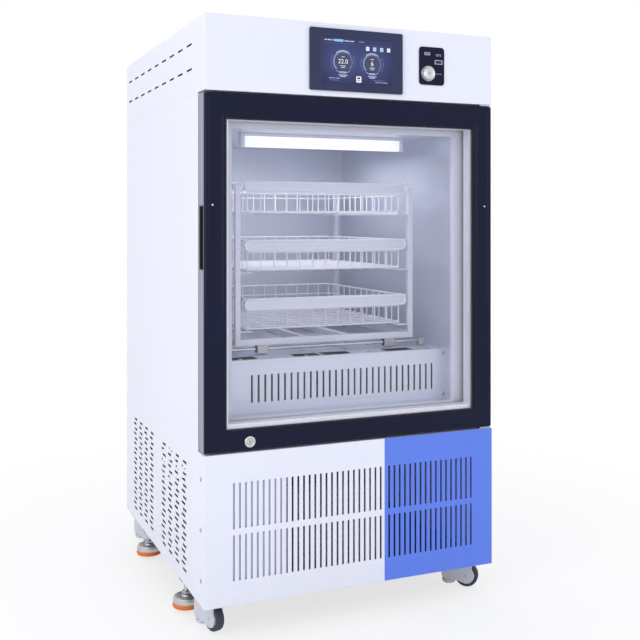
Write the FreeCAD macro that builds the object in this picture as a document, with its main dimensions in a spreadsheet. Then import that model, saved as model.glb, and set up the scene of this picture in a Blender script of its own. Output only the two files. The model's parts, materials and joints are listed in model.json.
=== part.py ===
import FreeCAD, Part
import math
import os
from types import SimpleNamespace

import Sketcher

# A floor-standing platelet agitator: an insulated glass-door cabinet on casters, with a
# carriage of three wire baskets that a crank shakes from side to side.
# Millimetres. +X is the right side seen from the front, the front faces -Y, +Z is up, and
# the origin is at the bottom centre, on the floor.

# Driving dimensions, in the order in which the pieces are built.
SIZES = {
    # Cabinet as a whole
    "body_width": 620.0,
    "body_depth": 685.0,
    "floor_gap": 65.0,
    "lower_height": 283.0,
    "door_zone_height": 675.0,
    "control_height": 142.0,
    "door_zone_depth": 43.0,
    "sheet": 1.5,
    "cut_overrun": 5.0,
    "rod_facets": 12,
    "bore_fit": 0.08,
    # Insulation, liner and the front frame round the chamber
    "side_insulation": 60.0,
    "rear_insulation": 62.0,
    "floor_insulation": 55.0,
    "ceiling_insulation": 58.0,
    "liner_wall": 1.0,
    "frame_thickness": 12.0,
    "frame_lip": 7.0,
    # Slots in the left panel
    "louvre_long": 28.0,
    "louvre_tall": 5.5,
    "louvre_columns": 4,
    "louvre_column_pitch": 55.2,
    "louvre_low_rows": 10,
    "louvre_high_rows": 9,
    "louvre_row_pitch": 11.8,
    "louvre_stagger": 9.0,
    "louvre_bottom": 25.8,
    "front_louvre_start": 125.0,
    "rear_louvre_start": 401.0,
    # Slots in the rear panel and the mains inlet
    "rear_slot_long": 170.0,
    "rear_slot_tall": 6.0,
    "rear_slot_start": 90.0,
    "rear_slot_bottom": 60.0,
    "rear_slot_columns": 2,
    "rear_slot_column_pitch": 240.0,
    "rear_slot_rows": 6,
    "rear_slot_row_pitch": 24.0,
    "inlet_width": 48.0,
    "inlet_height": 28.0,
    "inlet_depth": 24.0,
    "inlet_flange": 2.0,
    "inlet_rim": 4.0,
    "inlet_from_side": 70.0,
    "inlet_from_bottom": 226.0,
    "inlet_fit": 0.5,
    # Front panels of the machine section
    "blue_panel_start": 371.0,
    "blue_panel_return": 26.0,
    "grille_slot_width": 4.0,
    "lower_slot_height": 85.0,
    "upper_slot_height": 86.0,
    "lower_slot_bottom": 46.0,
    "upper_slot_bottom": 143.0,
    "white_slot_count": 27,
    "white_slot_start": 55.0,
    "white_slot_pitch": 11.74,
    "blue_slot_count": 17,
    "blue_slot_start": 379.0,
    "blue_slot_pitch": 11.85,
    # Control section on top
    "top_slot_long": 38.0,
    "top_slot_tall": 4.0,
    "top_slot_start": 86.0,
    "top_slot_count": 9,
    "top_slot_pitch": 67.2,
    "top_slot_row": 48.0,
    "top_slot_bottom": 48.0,
    "bezel_width": 201.0,
    "bezel_height": 121.0,
    "bezel_depth": 5.0,
    "bezel_start": 208.5,
    "bezel_bottom": 10.5,
    "screen_width": 154.0,
    "screen_height": 87.5,
    "screen_depth": 3.0,
    "screen_inset": 24.0,
    "screen_bottom": 16.0,
    "screen_recess": 0.6,
    "screen_box_depth": 18.0,
    "switch_plate_width": 58.0,
    "switch_plate_height": 77.0,
    "switch_plate_depth": 2.0,
    "switch_plate_corner": 7.0,
    "switch_plate_start": 448.0,
    "switch_plate_bottom": 33.5,
    "button_radius": 13.4,
    "button_facets": 24,
    "button_proud": 4.0,
    "button_depth": 12.0,
    "button_travel": 2.5,
    "button_from_edge": 20.5,
    "button_from_bottom": 23.0,
    "port_width": 18.0,
    "port_height": 9.0,
    "port_depth": 12.0,
    "port_proud": 0.8,
    "port_from_edge": 35.5,
    "port_from_bottom": 42.5,
    # Base and casters
    "base_thickness": 3.0,
    "caster_plate_size": 62.0,
    "caster_plate_thickness": 3.0,
    "caster_from_side": 32.0,
    "caster_from_end": 72.0,
    "wheel_radius": 25.0,
    "wheel_width": 17.0,
    "wheel_facets": 28,
    "axle_radius": 5.0,
    "wheel_trail": 14.0,
    "wheel_side_gap": 0.3,
    "fork_wall": 3.5,
    "fork_back": 38.0,
    "fork_corner": 8.0,
    "fork_bottom": 13.0,
    "fork_cheek": 17.5,
    "fork_head_gap": 0.3,
    "king_pin_radius": 8.0,
    "fork_crown_gap": 2.5,
    "stop_pad_radius": 14.0,
    "stop_pad_height": 8.0,
    "stop_pad_facets": 16,
    "turn_front_left": -73.0,
    "turn_front_right": -40.0,
    "turn_rear_left": -73.0,
    "turn_rear_right": 60.0,
    # Levelling feet
    "foot_from_side": 15.0,
    "foot_from_end": 177.0,
    "foot_bottom": 7.0,
    "foot_ring_radius": 28.5,
    "foot_ring_height": 9.0,
    "foot_puck_radius": 27.5,
    "foot_puck_height": 13.0,
    "foot_facets": 18,
    "spindle_radius": 6.0,
    "spindle_top": 92.0,
    "foot_arm_width": 26.0,
    "foot_arm_reach": 60.0,
    "foot_arm_thickness": 5.0,
    # Door
    "door_gap": 4.0,
    "door_front_thickness": 6.0,
    "profile_depth": 29.0,
    "profile_width": 40.0,
    "frame_side": 42.5,
    "frame_top": 46.0,
    "frame_bottom": 38.0,
    "gasket_depth": 7.6,
    "gasket_width": 14.0,
    "gasket_inset": 26.0,
    "pane_thickness": 4.0,
    "spacer_width": 12.0,
    "grip_bottom": 342.0,
    "grip_height": 120.0,
    "grip_depth": 26.0,
    "grip_opening": 20.0,
    "grip_wall": 2.0,
    "lock_from_side": 88.5,
    "lock_height": 302.6,
    "lock_head_radius": 11.0,
    "lock_head_facets": 20,
    "lock_head_thickness": 2.5,
    "lock_barrel_radius": 8.5,
    "cam_thickness": 2.0,
    "cam_length": 14.0,
    "cam_width": 9.0,
    "cam_gap": 1.0,
    # Hinges
    "hinge_from_side": 12.0,
    "hinge_from_front": 12.5,
    "hinge_plate_thickness": 3.0,
    "hinge_plate_width": 26.0,
    "hinge_plate_margin": 9.0,
    "hinge_pin_radius": 4.0,
    "hinge_pin_depth": 14.0,
    # Chamber fittings
    "duct_height": 105.0,
    "duct_from_face": 37.0,
    "duct_wall": 1.5,
    "duct_slot_width": 4.0,
    "duct_slot_height": 54.0,
    "duct_slot_bottom": 21.0,
    "duct_slot_count": 30,
    "duct_slot_pitch": 13.9,
    "duct_slot_start": 58.0,
    "base_rear_gap": 40.0,
    "tray_wall": 2.0,
    "tray_window_margin": 9.0,
    "tray_window_depth": 46.0,
    "tray_window_1_left": -226.0,
    "tray_window_1_right": -172.0,
    "tray_window_2_left": -94.0,
    "tray_window_2_right": -36.0,
    "tray_window_3_left": -30.0,
    "tray_window_3_right": 34.0,
    "tray_window_4_left": 113.0,
    "tray_window_4_right": 180.0,
    "lamp_width": 380.0,
    "lamp_height": 30.0,
    "lamp_depth": 22.0,
    "lamp_from_face": 150.0,
    "lamp_offset": 15.0,
    "evaporator_width": 340.0,
    "evaporator_motor_gap": 41.5,
    "evaporator_height": 80.0,
    "evaporator_from_duct": 76.0,
    "fan_hub_radius": 12.0,
    "fan_hub_depth": 14.0,
    "fan_blade_count": 5,
    "fan_blade_width": 20.0,
    "fan_blade_thickness": 1.5,
    "fan_blade_pitch": 28.0,
    "chamber_fan_radius": 38.0,
    "fan_motor_radius": 20.0,
    "motor_facets": 18,
    "fan_motor_depth": 26.0,
    "fan_running_gap": 0.3,
    # Carriage, its guides and its drive
    "carriage_side_gap": 47.0,
    "carriage_rear_gap": 73.5,
    "carriage_top_gap": 111.0,
    "carriage_from_face": 101.5,
    "carriage_lift": 19.0,
    "tube": 11.0,
    "bottom_rail": 13.0,
    "top_rail": 8.0,
    "cross_member_gap": 84.0,
    "shaft_radius": 4.0,
    "shaft_height": 11.0,
    "bearing_width": 24.0,
    "bearing_depth": 18.0,
    "bearing_inset": 58.0,
    "bearing_height": 16.0,
    "support_width": 12.0,
    "support_depth": 18.0,
    "support_height": 17.0,
    "shaft_overhang": 14.0,
    "stroke": 50.0,
    "crank_pin_radius": 4.0,
    "crank_thickness": 5.0,
    "crank_width": 22.0,
    "crank_clearance": 1.0,
    "crank_shaft_radius": 6.0,
    "crank_shaft_fit": 0.5,
    "yoke_width": 96.0,
    "yoke_depth": 70.0,
    "yoke_thickness": 4.0,
    "yoke_play": 5.6,
    "yoke_back": 22.0,
    "pin_end_gap": 0.5,
    "drive_motor_radius": 28.0,
    "drive_motor_height": 58.0,
    # Baskets
    "basket_side_gap": 17.0,
    "basket_rear_gap": 12.5,
    "basket_floor_gap": 16.0,
    "basket_spacing": 54.0,
    "basket_setback": 10.5,
    "wire": 3.0,
    "front_columns": 12,
    "front_mid_share": 0.62,
    "side_columns": 4,
    "floor_columns": 3,
    "handle_overhang": 10.0,
    "handle_height_share": 0.32,
    "handle_projection": 15.0,
    "handle_wall": 1.5,
    "handle_corner": 8.0,
    "runner_width": 26.0,
    "runner_thickness": 2.0,
    "runner_gap": 0.3,
    # Machine section
    "compressor_radius": 70.0,
    "compressor_height": 120.0,
    "compressor_lid_radius": 54.0,
    "compressor_lid_height": 24.0,
    "compressor_from_side": 190.0,
    "compressor_from_rear": 160.0,
    "condenser_width": 260.0,
    "condenser_depth": 44.0,
    "condenser_height": 190.0,
    "condenser_from_side": 110.0,
    "condenser_from_front": 24.0,
    "condenser_fins": 12,
    "condenser_groove": 10.0,
    "condenser_groove_depth": 4.0,
    "condenser_fan_radius": 85.0,
    "condenser_fan_gap": 8.0,
    "fan_post_width": 16.0,
}


class Size:
    """A length that keeps the formula it came from, so that a property can be bound to the sheet."""

    def __init__(self, number, formula):
        self.number = float(number)
        self.formula = formula

    def __add__(self, other):
        other = as_size(other)
        return Size(self.number + other.number, f"({self.formula} + {other.formula})")

    def __sub__(self, other):
        other = as_size(other)
        return Size(self.number - other.number, f"({self.formula} - {other.formula})")

    def __mul__(self, other):
        other = as_size(other)
        return Size(self.number * other.number, f"({self.formula} * {other.formula})")

    def __truediv__(self, other):
        other = as_size(other)
        return Size(self.number / other.number, f"({self.formula} / {other.formula})")

    def __radd__(self, other):
        return as_size(other) + self

    def __rsub__(self, other):
        return as_size(other) - self

    def __rmul__(self, other):
        return as_size(other) * self

    def __rtruediv__(self, other):
        return as_size(other) / self

    def __neg__(self):
        return Size(-self.number, f"(0 - {self.formula})")


def as_size(value):
    return value if isinstance(value, Size) else Size(value, repr(float(value)))


def fill_sheet():
    """Writes each driving dimension into a cell with its own alias."""
    for row, (name, number) in enumerate(SIZES.items(), start=1):
        sheet.set(f"A{row}", name)
        sheet.set(f"B{row}", str(number))
        sheet.setAlias(f"B{row}", name)
    doc.recompute()
    return SimpleNamespace(**{name: Size(number, f"dims.{name}") for name, number in SIZES.items()})


doc = FreeCAD.newDocument("platelet_agitator")
sheet = doc.addObject("Spreadsheet::Sheet", "dims")
d = fill_sheet()

# Places that several pieces share
SIDE = d.body_width / 2
FRONT = -d.body_depth / 2
BACK = d.body_depth / 2
BOTTOM = d.floor_gap
DOOR_LOW = BOTTOM + d.lower_height
DOOR_HIGH = DOOR_LOW + d.door_zone_height
TOP = DOOR_HIGH + d.control_height
FACE = FRONT + d.door_zone_depth
CHAMBER_SIDE = SIDE - d.side_insulation
CHAMBER_FLOOR = DOOR_LOW + d.floor_insulation
CHAMBER_TOP = DOOR_HIGH - d.ceiling_insulation
CHAMBER_BACK = BACK - d.rear_insulation
FOAM_FRONT = FACE + d.frame_thickness
BASE_TOP = BOTTOM + d.base_thickness
CARRIAGE_FRONT = FACE + d.carriage_from_face
CARRIAGE_BACK = CHAMBER_BACK - d.carriage_rear_gap
CARRIAGE_Y = (CARRIAGE_FRONT + CARRIAGE_BACK) / 2
CARRIAGE_SIDE = CHAMBER_SIDE - d.carriage_side_gap

nodes = []


def bind(thing, **sizes):
    """Binds properties of an object to formulas on the sheet."""
    for name, size in sizes.items():
        thing.setExpression(name, as_size(size).formula)


def put_at(thing, x=0, y=0, z=0):
    """Moves an object by formulas on the sheet."""
    for axis, size in (("x", x), ("y", y), ("z", z)):
        thing.setExpression(f"Placement.Base.{axis}", as_size(size).formula)


def turn(thing, axis, angle):
    """Turns an object about an axis, by a fixed angle or by a formula in degrees."""
    thing.Placement.Rotation = FreeCAD.Rotation(FreeCAD.Vector(*axis), 1)
    thing.setExpression("Placement.Rotation.Angle", as_size(angle).formula)


def keep(thing, name):
    """Names a finished sub-part, which is written to its own file."""
    thing.Label = name
    nodes.append(thing)
    return thing


def box(name, x, y, z):
    """A block between two places along each axis."""
    thing = doc.addObject("Part::Box", name)
    bind(thing, Length=x[1] - x[0], Width=y[1] - y[0], Height=z[1] - z[0])
    put_at(thing, x[0], y[0], z[0])
    return thing


def lay_along(thing, axis):
    """Turn a bar that stands up until it lies along x or y."""
    if axis == "x":
        thing.Placement.Rotation = FreeCAD.Rotation(FreeCAD.Vector(0, 1, 0), 90)
    if axis == "y":
        thing.Placement.Rotation = FreeCAD.Rotation(FreeCAD.Vector(1, 0, 0), -90)


def rod(name, radius, length, x, y, z, axis="z", facets=None):
    """A bar that starts at a place and runs along an axis, with few enough flats to stay light."""
    thing = doc.addObject("Part::Prism", name)
    bind(thing, Polygon=d.rod_facets if facets is None else facets, Circumradius=radius,
         Height=length)
    lay_along(thing, axis)
    put_at(thing, x, y, z)
    return thing


def round_rod(name, radius, length, x, y, z, axis="z"):
    """A truly round bar, for the pin or the motor at the middle of what turns."""
    thing = doc.addObject("Part::Cylinder", name)
    bind(thing, Radius=radius, Height=length)
    lay_along(thing, axis)
    put_at(thing, x, y, z)
    return thing


def round_hole(name, radius, length, x, y, z, axis="z"):
    """A truly round hole that a rod of the given radius turns in."""
    return round_rod(name, radius + d.bore_fit, length, x, y, z, axis)


def bore(name, radius, length, x, y, z, axis="z", facets=None):
    """The hole for a rod: its flats stand clear of the rod's corners, so that the rod can turn."""
    facets = d.rod_facets if facets is None else facets
    share = Size(1 / math.cos(math.pi / facets.number), f"1 / cos(180 deg / {facets.formula})")
    return rod(name, (radius + d.bore_fit) * share, length, x, y, z, axis, facets)


def joined(name, parts):
    thing = doc.addObject("Part::MultiFuse", name)
    thing.Shapes = parts
    return thing


def cut(name, base, tool):
    thing = doc.addObject("Part::Cut", name)
    thing.Base = base
    thing.Tool = tool
    return thing


def group(name, parts):
    """Separate solids that share one sub-part."""
    thing = doc.addObject("Part::Compound", name)
    thing.Links = parts
    return thing


def plane_of(body, role):
    return next(item for item in body.Origin.OriginFeatures if item.Role == role)


def sketch_on(body, name, role, outline):
    """A closed outline on one of the body's own planes, with each corner held from the origin."""
    sketch = body.newObject("Sketcher::SketchObject", name)
    sketch.AttachmentSupport = [(plane_of(body, role), "")]
    sketch.MapMode = "FlatFace"
    corners = [(as_size(across), as_size(up)) for across, up in outline]
    points = [FreeCAD.Vector(across.number, up.number, 0) for across, up in corners]
    count = len(points)
    for index in range(count):
        sketch.addGeometry(Part.LineSegment(points[index], points[(index + 1) % count]), False)
    for index in range(count):
        following = (index + 1) % count
        sketch.addConstraint(Sketcher.Constraint("Coincident", index, 2, following, 1))
    for index, corner in enumerate(corners):
        for kind, size in zip(("DistanceX", "DistanceY"), corner):
            row = sketch.addConstraint(Sketcher.Constraint(kind, -1, 1, index, 1, size.number))
            sketch.setExpression(f"Constraints[{row}]", size.formula)
    return sketch


def rectangle(across, up):
    return [(across[0], up[0]), (across[1], up[0]), (across[1], up[1]), (across[0], up[1])]


def padded(name, role, outline, thickness, centred=False):
    """A body made by padding one outline."""
    body = doc.addObject("PartDesign::Body", name)
    sketch = sketch_on(body, f"{name}_outline", role, outline)
    pad = body.newObject("PartDesign::Pad", f"{name}_pad")
    pad.Profile = sketch
    pad.Midplane = centred
    bind(pad, Length=thickness)
    return body


def plate(name, role, outline, low, thickness):
    """A flat piece whose lower face along its normal lies at one place."""
    body = padded(name, role, outline, thickness)
    if role == "XY_Plane":
        put_at(body, z=low)
    if role == "XZ_Plane":
        put_at(body, y=low + thickness)
    if role == "YZ_Plane":
        put_at(body, x=low)
    return body


def pocket(body, name, role, outline):
    """Cuts one outline right through the body, both ways from its plane."""
    doc.recompute()
    before = body.Shape.Volume
    sketch = sketch_on(body, f"{name}_outline", role, outline)
    feature = body.newObject("PartDesign::Pocket", name)
    feature.Profile = sketch
    feature.Type = "ThroughAll"
    feature.Midplane = True
    doc.recompute()
    if body.Shape.Volume >= before:
        raise RuntimeError(f"{name} cuts nothing")
    return feature


def slots(body, name, role, across, up, columns, column_pitch, rows, row_pitch):
    """Cuts a slot and repeats it in columns and rows."""
    first = pocket(body, name, role, rectangle(across, up))
    pattern = body.newObject("PartDesign::LinearPattern", f"{name}_pattern")
    pattern.Originals = [first]
    pattern.Direction = (first.Profile[0], ["H_Axis"])
    pattern.Mode = "Spacing"
    pattern.Direction2 = (first.Profile[0], ["V_Axis"])
    pattern.Mode2 = "Spacing"
    pattern.Spacings2 = [-1.0]
    bind(pattern, Occurrences=columns, Offset=column_pitch)
    bind(pattern, Occurrences2=rows, Offset2=row_pitch)
    body.Tip = pattern
    return pattern


# Outer panels

def side_outline():
    """The side panels are full depth beside the machine section, and stop behind the door above it."""
    return [
        (FRONT + d.sheet, BOTTOM),
        (BACK - d.sheet, BOTTOM),
        (BACK - d.sheet, DOOR_HIGH),
        (FACE, DOOR_HIGH),
        (FACE, DOOR_LOW),
        (FRONT + d.sheet, DOOR_LOW),
    ]


def louvres(body, name, start):
    """One group of staggered louvre slots: the even rows, then the odd rows between them."""
    across = (FRONT + start, FRONT + start + d.louvre_long)
    up = BOTTOM + d.louvre_bottom
    pitch = 2 * d.louvre_row_pitch
    slots(body, f"{name}_even", "YZ_Plane", across, (up, up + d.louvre_tall),
          d.louvre_columns, d.louvre_column_pitch, d.louvre_low_rows, pitch)
    across = (across[0] + d.louvre_stagger, across[1] + d.louvre_stagger)
    up = up + d.louvre_row_pitch
    slots(body, f"{name}_odd", "YZ_Plane", across, (up, up + d.louvre_tall),
          d.louvre_columns, d.louvre_column_pitch, d.louvre_high_rows, pitch)


def outer_panels():
    left = plate("left_side_panel", "YZ_Plane", side_outline(), -SIDE, d.sheet)
    louvres(left, "front_louvre", d.front_louvre_start)
    louvres(left, "rear_louvre", d.rear_louvre_start)
    keep(left, "left_side_panel")
    keep(plate("right_side_panel", "YZ_Plane", side_outline(), SIDE - d.sheet, d.sheet),
         "right_side_panel")

    rear = plate("rear_panel", "XZ_Plane", rectangle((-SIDE, SIDE), (BOTTOM, DOOR_HIGH)),
                 BACK - d.sheet, d.sheet)
    start = -SIDE + d.rear_slot_start
    low = BOTTOM + d.rear_slot_bottom
    slots(rear, "rear_slot", "XZ_Plane", (start, start + d.rear_slot_long),
          (low, low + d.rear_slot_tall), d.rear_slot_columns, d.rear_slot_column_pitch,
          d.rear_slot_rows, d.rear_slot_row_pitch)
    pocket(rear, "inlet_cutout", "XZ_Plane",
           rectangle(inlet_across(d.inlet_fit), inlet_up(d.inlet_fit)))
    keep(rear, "rear_panel")


def door_ledges():
    """Two narrow shelves that close the machine section below the door and the cover above it."""
    across = (-SIDE + d.sheet, SIDE - d.sheet)
    along = (FRONT + d.sheet, FACE)
    lower = box("lower_ledge", across, along, (DOOR_LOW - d.sheet, DOOR_LOW))
    upper = box("upper_ledge", across, along, (DOOR_HIGH, DOOR_HIGH + d.sheet))
    keep(group("door_ledges", [lower, upper]), "door_ledges")


def inlet_across(margin):
    low = SIDE - d.inlet_from_side - d.inlet_width
    return low - margin, low + d.inlet_width + margin


def inlet_up(margin):
    low = BOTTOM + d.inlet_from_bottom
    return low - margin, low + d.inlet_height + margin


def mains_inlet():
    """The socket for a loose mains lead: a body through the rear panel, with a rim outside it."""
    body = box("inlet_body", inlet_across(0), (BACK - d.inlet_depth, BACK), inlet_up(0))
    rim = box("inlet_rim", inlet_across(d.inlet_rim), (BACK, BACK + d.inlet_flange),
              inlet_up(d.inlet_rim))
    keep(joined("mains_inlet", [body, rim]), "mains_inlet")


def front_panels():
    """Two slotted sheets: the white one on the left, the blue one round the right corner."""
    split = -SIDE + d.blue_panel_start
    rows = d.upper_slot_bottom - d.lower_slot_bottom
    low = BOTTOM + d.lower_slot_bottom
    for name, across, first, count, pitch in (
        ("front_grille_white", (-SIDE, split), d.white_slot_start, d.white_slot_count,
         d.white_slot_pitch),
        ("front_grille_blue", (split, SIDE), d.blue_slot_start, d.blue_slot_count,
         d.blue_slot_pitch),
    ):
        panel = plate(f"{name}_sheet", "XZ_Plane", rectangle(across, (BOTTOM, DOOR_LOW)), FRONT,
                      d.sheet)
        start = -SIDE + first
        slots(panel, f"{name}_slot", "XZ_Plane", (start, start + d.grille_slot_width),
              (low, low + d.lower_slot_height), count, pitch, 2, rows)
        if name == "front_grille_blue":
            flank = box("blue_return", (SIDE, SIDE + d.sheet),
                        (FRONT, FRONT + d.blue_panel_return), (BOTTOM, DOOR_LOW))
            panel = joined("front_grille_blue_fold", [panel, flank])
        keep(panel, name)


# Insulated chamber

def chamber_walls():
    """Foam blocks between the outer panels and the liner, the liner, and the frame that closes them."""
    foam_side = SIDE - d.sheet
    liner_side = CHAMBER_SIDE + d.liner_wall
    liner_floor = CHAMBER_FLOOR - d.liner_wall
    liner_top = CHAMBER_TOP + d.liner_wall
    foam_back = BACK - d.sheet
    liner_back = CHAMBER_BACK + d.liner_wall
    depth = (FOAM_FRONT, foam_back)
    blocks = [
        box("foam_floor", (-foam_side, foam_side), depth, (DOOR_LOW, liner_floor)),
        box("foam_top", (-foam_side, foam_side), depth, (liner_top, DOOR_HIGH)),
        box("foam_left", (-foam_side, -liner_side), depth, (liner_floor, liner_top)),
        box("foam_right", (liner_side, foam_side), depth, (liner_floor, liner_top)),
        box("foam_rear", (-liner_side, liner_side), (liner_back, foam_back),
            (liner_floor, liner_top)),
    ]
    keep(group("insulation", blocks), "insulation")

    outside = box("liner_outside", (-liner_side, liner_side), (FOAM_FRONT, liner_back),
                  (liner_floor, liner_top))
    inside = box("liner_inside", (-CHAMBER_SIDE, CHAMBER_SIDE),
                 (FOAM_FRONT - d.cut_overrun, CHAMBER_BACK), (CHAMBER_FLOOR, CHAMBER_TOP))
    keep(cut("inner_liner", outside, inside), "inner_liner")

    frame = plate("chamber_frame", "XZ_Plane",
                  rectangle((-SIDE + d.sheet, SIDE - d.sheet), (DOOR_LOW, DOOR_HIGH)),
                  FACE, d.frame_thickness)
    lip = d.frame_lip
    pocket(frame, "frame_opening", "XZ_Plane",
           rectangle((-CHAMBER_SIDE + lip, CHAMBER_SIDE - lip),
                     (CHAMBER_FLOOR, CHAMBER_TOP - lip)))
    keep(frame, "chamber_frame")


# Control section

def bezel_across():
    return -SIDE + d.bezel_start, -SIDE + d.bezel_start + d.bezel_width


def bezel_up():
    return DOOR_HIGH + d.bezel_bottom, DOOR_HIGH + d.bezel_bottom + d.bezel_height


def screen_across():
    low = bezel_across()[0] + d.screen_inset
    return low, low + d.screen_width


def screen_up():
    low = bezel_up()[0] + d.screen_bottom
    return low, low + d.screen_height


def switch_across():
    return -SIDE + d.switch_plate_start, -SIDE + d.switch_plate_start + d.switch_plate_width


def switch_up():
    low = DOOR_HIGH + d.switch_plate_bottom
    return low, low + d.switch_plate_height


def button_place():
    return switch_across()[0] + d.button_from_edge, switch_up()[0] + d.button_from_bottom


def top_cover():
    """A folded cover, open below, with vent slots in both sides and two cut-outs in its front."""
    cover = padded("cover_shell", "XY_Plane", rectangle((-SIDE, SIDE), (FRONT, BACK)),
                   d.control_height)
    put_at(cover, z=DOOR_HIGH)
    hollow = sketch_on(cover, "cover_hollow_outline", "XY_Plane",
                       rectangle((-SIDE + d.sheet, SIDE - d.sheet),
                                 (FRONT + d.sheet, BACK - d.sheet)))
    inside = cover.newObject("PartDesign::Pocket", "cover_hollow")
    inside.Profile = hollow
    inside.Reversed = True
    bind(inside, Length=d.control_height - d.sheet)
    doc.recompute()
    start = FRONT + d.top_slot_start
    slots(cover, "vent_slot", "YZ_Plane", (start, start + d.top_slot_long),
          (d.top_slot_bottom, d.top_slot_bottom + d.top_slot_tall),
          d.top_slot_count, d.top_slot_pitch, 2, d.top_slot_row)
    margin = d.bezel_depth
    across, up = bezel_across(), bezel_up()
    screen_hole = box("screen_hole", (across[0] + margin, across[1] - margin),
                      (FRONT - d.cut_overrun, FRONT + d.cut_overrun),
                      (up[0] + margin, up[1] - margin))
    across, up = switch_across(), switch_up()
    margin = d.switch_plate_depth
    switch_hole = box("switch_hole", (across[0] + margin, across[1] - margin),
                      (FRONT - d.cut_overrun, FRONT + d.cut_overrun),
                      (up[0] + margin, up[1] - margin))
    keep(cut("top_cover_cut", cover, joined("cover_holes", [screen_hole, switch_hole])),
         "top_cover")


def touch_screen():
    """A bezel on the cover's front, with the display box behind it and the glass in its window."""
    across, up = bezel_across(), bezel_up()
    face = (FRONT - d.bezel_depth, FRONT)
    frame = box("bezel_front", across, face, up)
    margin = d.bezel_depth
    case = box("bezel_case", (across[0] + margin, across[1] - margin),
               (FRONT, FRONT + d.screen_box_depth), (up[0] + margin, up[1] - margin))
    window = box("bezel_window", screen_across(),
                 (FRONT - d.bezel_depth - d.cut_overrun,
                  FRONT - d.bezel_depth + d.screen_recess + d.screen_depth), screen_up())
    keep(cut("screen_bezel", joined("bezel_block", [frame, case]), window), "screen_bezel")
    low = FRONT - d.bezel_depth + d.screen_recess
    keep(box("touch_screen", screen_across(), (low, low + d.screen_depth), screen_up()),
         "touch_screen")


def switch_plate():
    """A plate with rounded corners, a round hole for the button and a window for the port."""
    across, up = switch_across(), switch_up()
    body = padded("switch_plate_blank", "XZ_Plane", rectangle(across, up), d.switch_plate_depth)
    put_at(body, y=FRONT)
    doc.recompute()
    blank = body.Tip
    corners = [f"Edge{index}" for index, edge in enumerate(blank.Shape.Edges, start=1)
               if abs(edge.tangentAt(edge.FirstParameter).y) > 0.9]
    fillet = body.newObject("PartDesign::Fillet", "switch_plate_corners")
    fillet.Base = (blank, corners)
    bind(fillet, Radius=d.switch_plate_corner)
    x, z = button_place()
    hole = bore("button_hole", d.button_radius, d.switch_plate_depth + 2 * d.cut_overrun,
                x, FRONT - d.switch_plate_depth - d.cut_overrun, z, "y", d.button_facets)
    low_x = across[0] + d.port_from_edge
    low_z = up[0] + d.port_from_bottom
    window = box("port_window", (low_x, low_x + d.port_width),
                 (FRONT - d.switch_plate_depth - d.cut_overrun, FRONT + d.cut_overrun),
                 (low_z, low_z + d.port_height))
    keep(cut("switch_plate", body, joined("switch_plate_holes", [hole, window])), "switch_plate")

    front = FRONT - d.switch_plate_depth
    keep(box("service_port", (low_x, low_x + d.port_width),
             (front - d.port_proud, front + d.port_depth), (low_z, low_z + d.port_height)),
         "service_port")
    keep(rod("power_button", d.button_radius, d.button_depth, x, front - d.button_proud, z, "y",
             d.button_facets), "power_button")


# Base, casters and levelling feet

CASTERS = (
    ("front_left", -1, -1, d.turn_front_left),
    ("front_right", 1, -1, d.turn_front_right),
    ("rear_left", -1, 1, d.turn_rear_left),
    ("rear_right", 1, 1, d.turn_rear_right),
)


def caster_place(left_right, front_rear):
    return (left_right * (SIDE - d.caster_from_side),
            front_rear * (BACK - d.caster_from_end))


def foot_place(left_right, front_rear):
    return (left_right * (SIDE - d.foot_from_side),
            front_rear * (BACK - d.foot_from_end))


def base_plate():
    """The floor of the machine section, with a hole over each levelling foot."""
    floor = box("base_blank", (-SIDE + d.sheet, SIDE - d.sheet),
                (FRONT + d.sheet, BACK - d.sheet), (BOTTOM, BASE_TOP))
    bores = [bore(f"base_bore_{name}", d.spindle_radius, d.base_thickness + 2 * d.cut_overrun,
                  *foot_place(left_right, front_rear), BOTTOM - d.cut_overrun)
             for name, left_right, front_rear, _ in CASTERS]
    keep(cut("base_plate", floor, group("base_bores", bores)), "base_plate")


def caster_plates():
    """The four fixed top plates, bolted under the base, each with the hole for its king pin."""
    plates = []
    half = d.caster_plate_size / 2
    low = BOTTOM - d.caster_plate_thickness
    for name, left_right, front_rear, _ in CASTERS:
        x, y = caster_place(left_right, front_rear)
        blank = box(f"caster_plate_{name}", (x - half, x + half), (y - half, y + half),
                    (low, BOTTOM))
        hole = bore(f"king_pin_hole_{name}", d.king_pin_radius,
                    d.caster_plate_thickness + 2 * d.cut_overrun, x, y, low - d.cut_overrun)
        plates.append(cut(f"caster_plate_holed_{name}", blank, hole))
    keep(group("caster_plates", plates), "caster_plates")


def fork_outline():
    """Side view of a caster's housing: a square back over the stop pad and a cheek round the axle."""
    crown = BOTTOM - d.caster_plate_thickness - d.fork_head_gap
    axle_x, axle_z = d.wheel_trail, d.wheel_radius
    cheek = d.fork_cheek
    bevel = cheek * 0.4
    return [
        (-d.fork_back, crown),
        (-d.fork_back, d.fork_bottom + d.fork_corner),
        (-d.fork_back + d.fork_corner, d.fork_bottom),
        (axle_x - cheek, d.fork_bottom),
        (axle_x - bevel, axle_z - cheek),
        (axle_x + bevel, axle_z - cheek),
        (axle_x + cheek, axle_z - bevel),
        (axle_x + cheek, axle_z + bevel),
        (axle_x + bevel, crown - d.fork_corner),
        (axle_x - bevel, crown),
    ]


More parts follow.
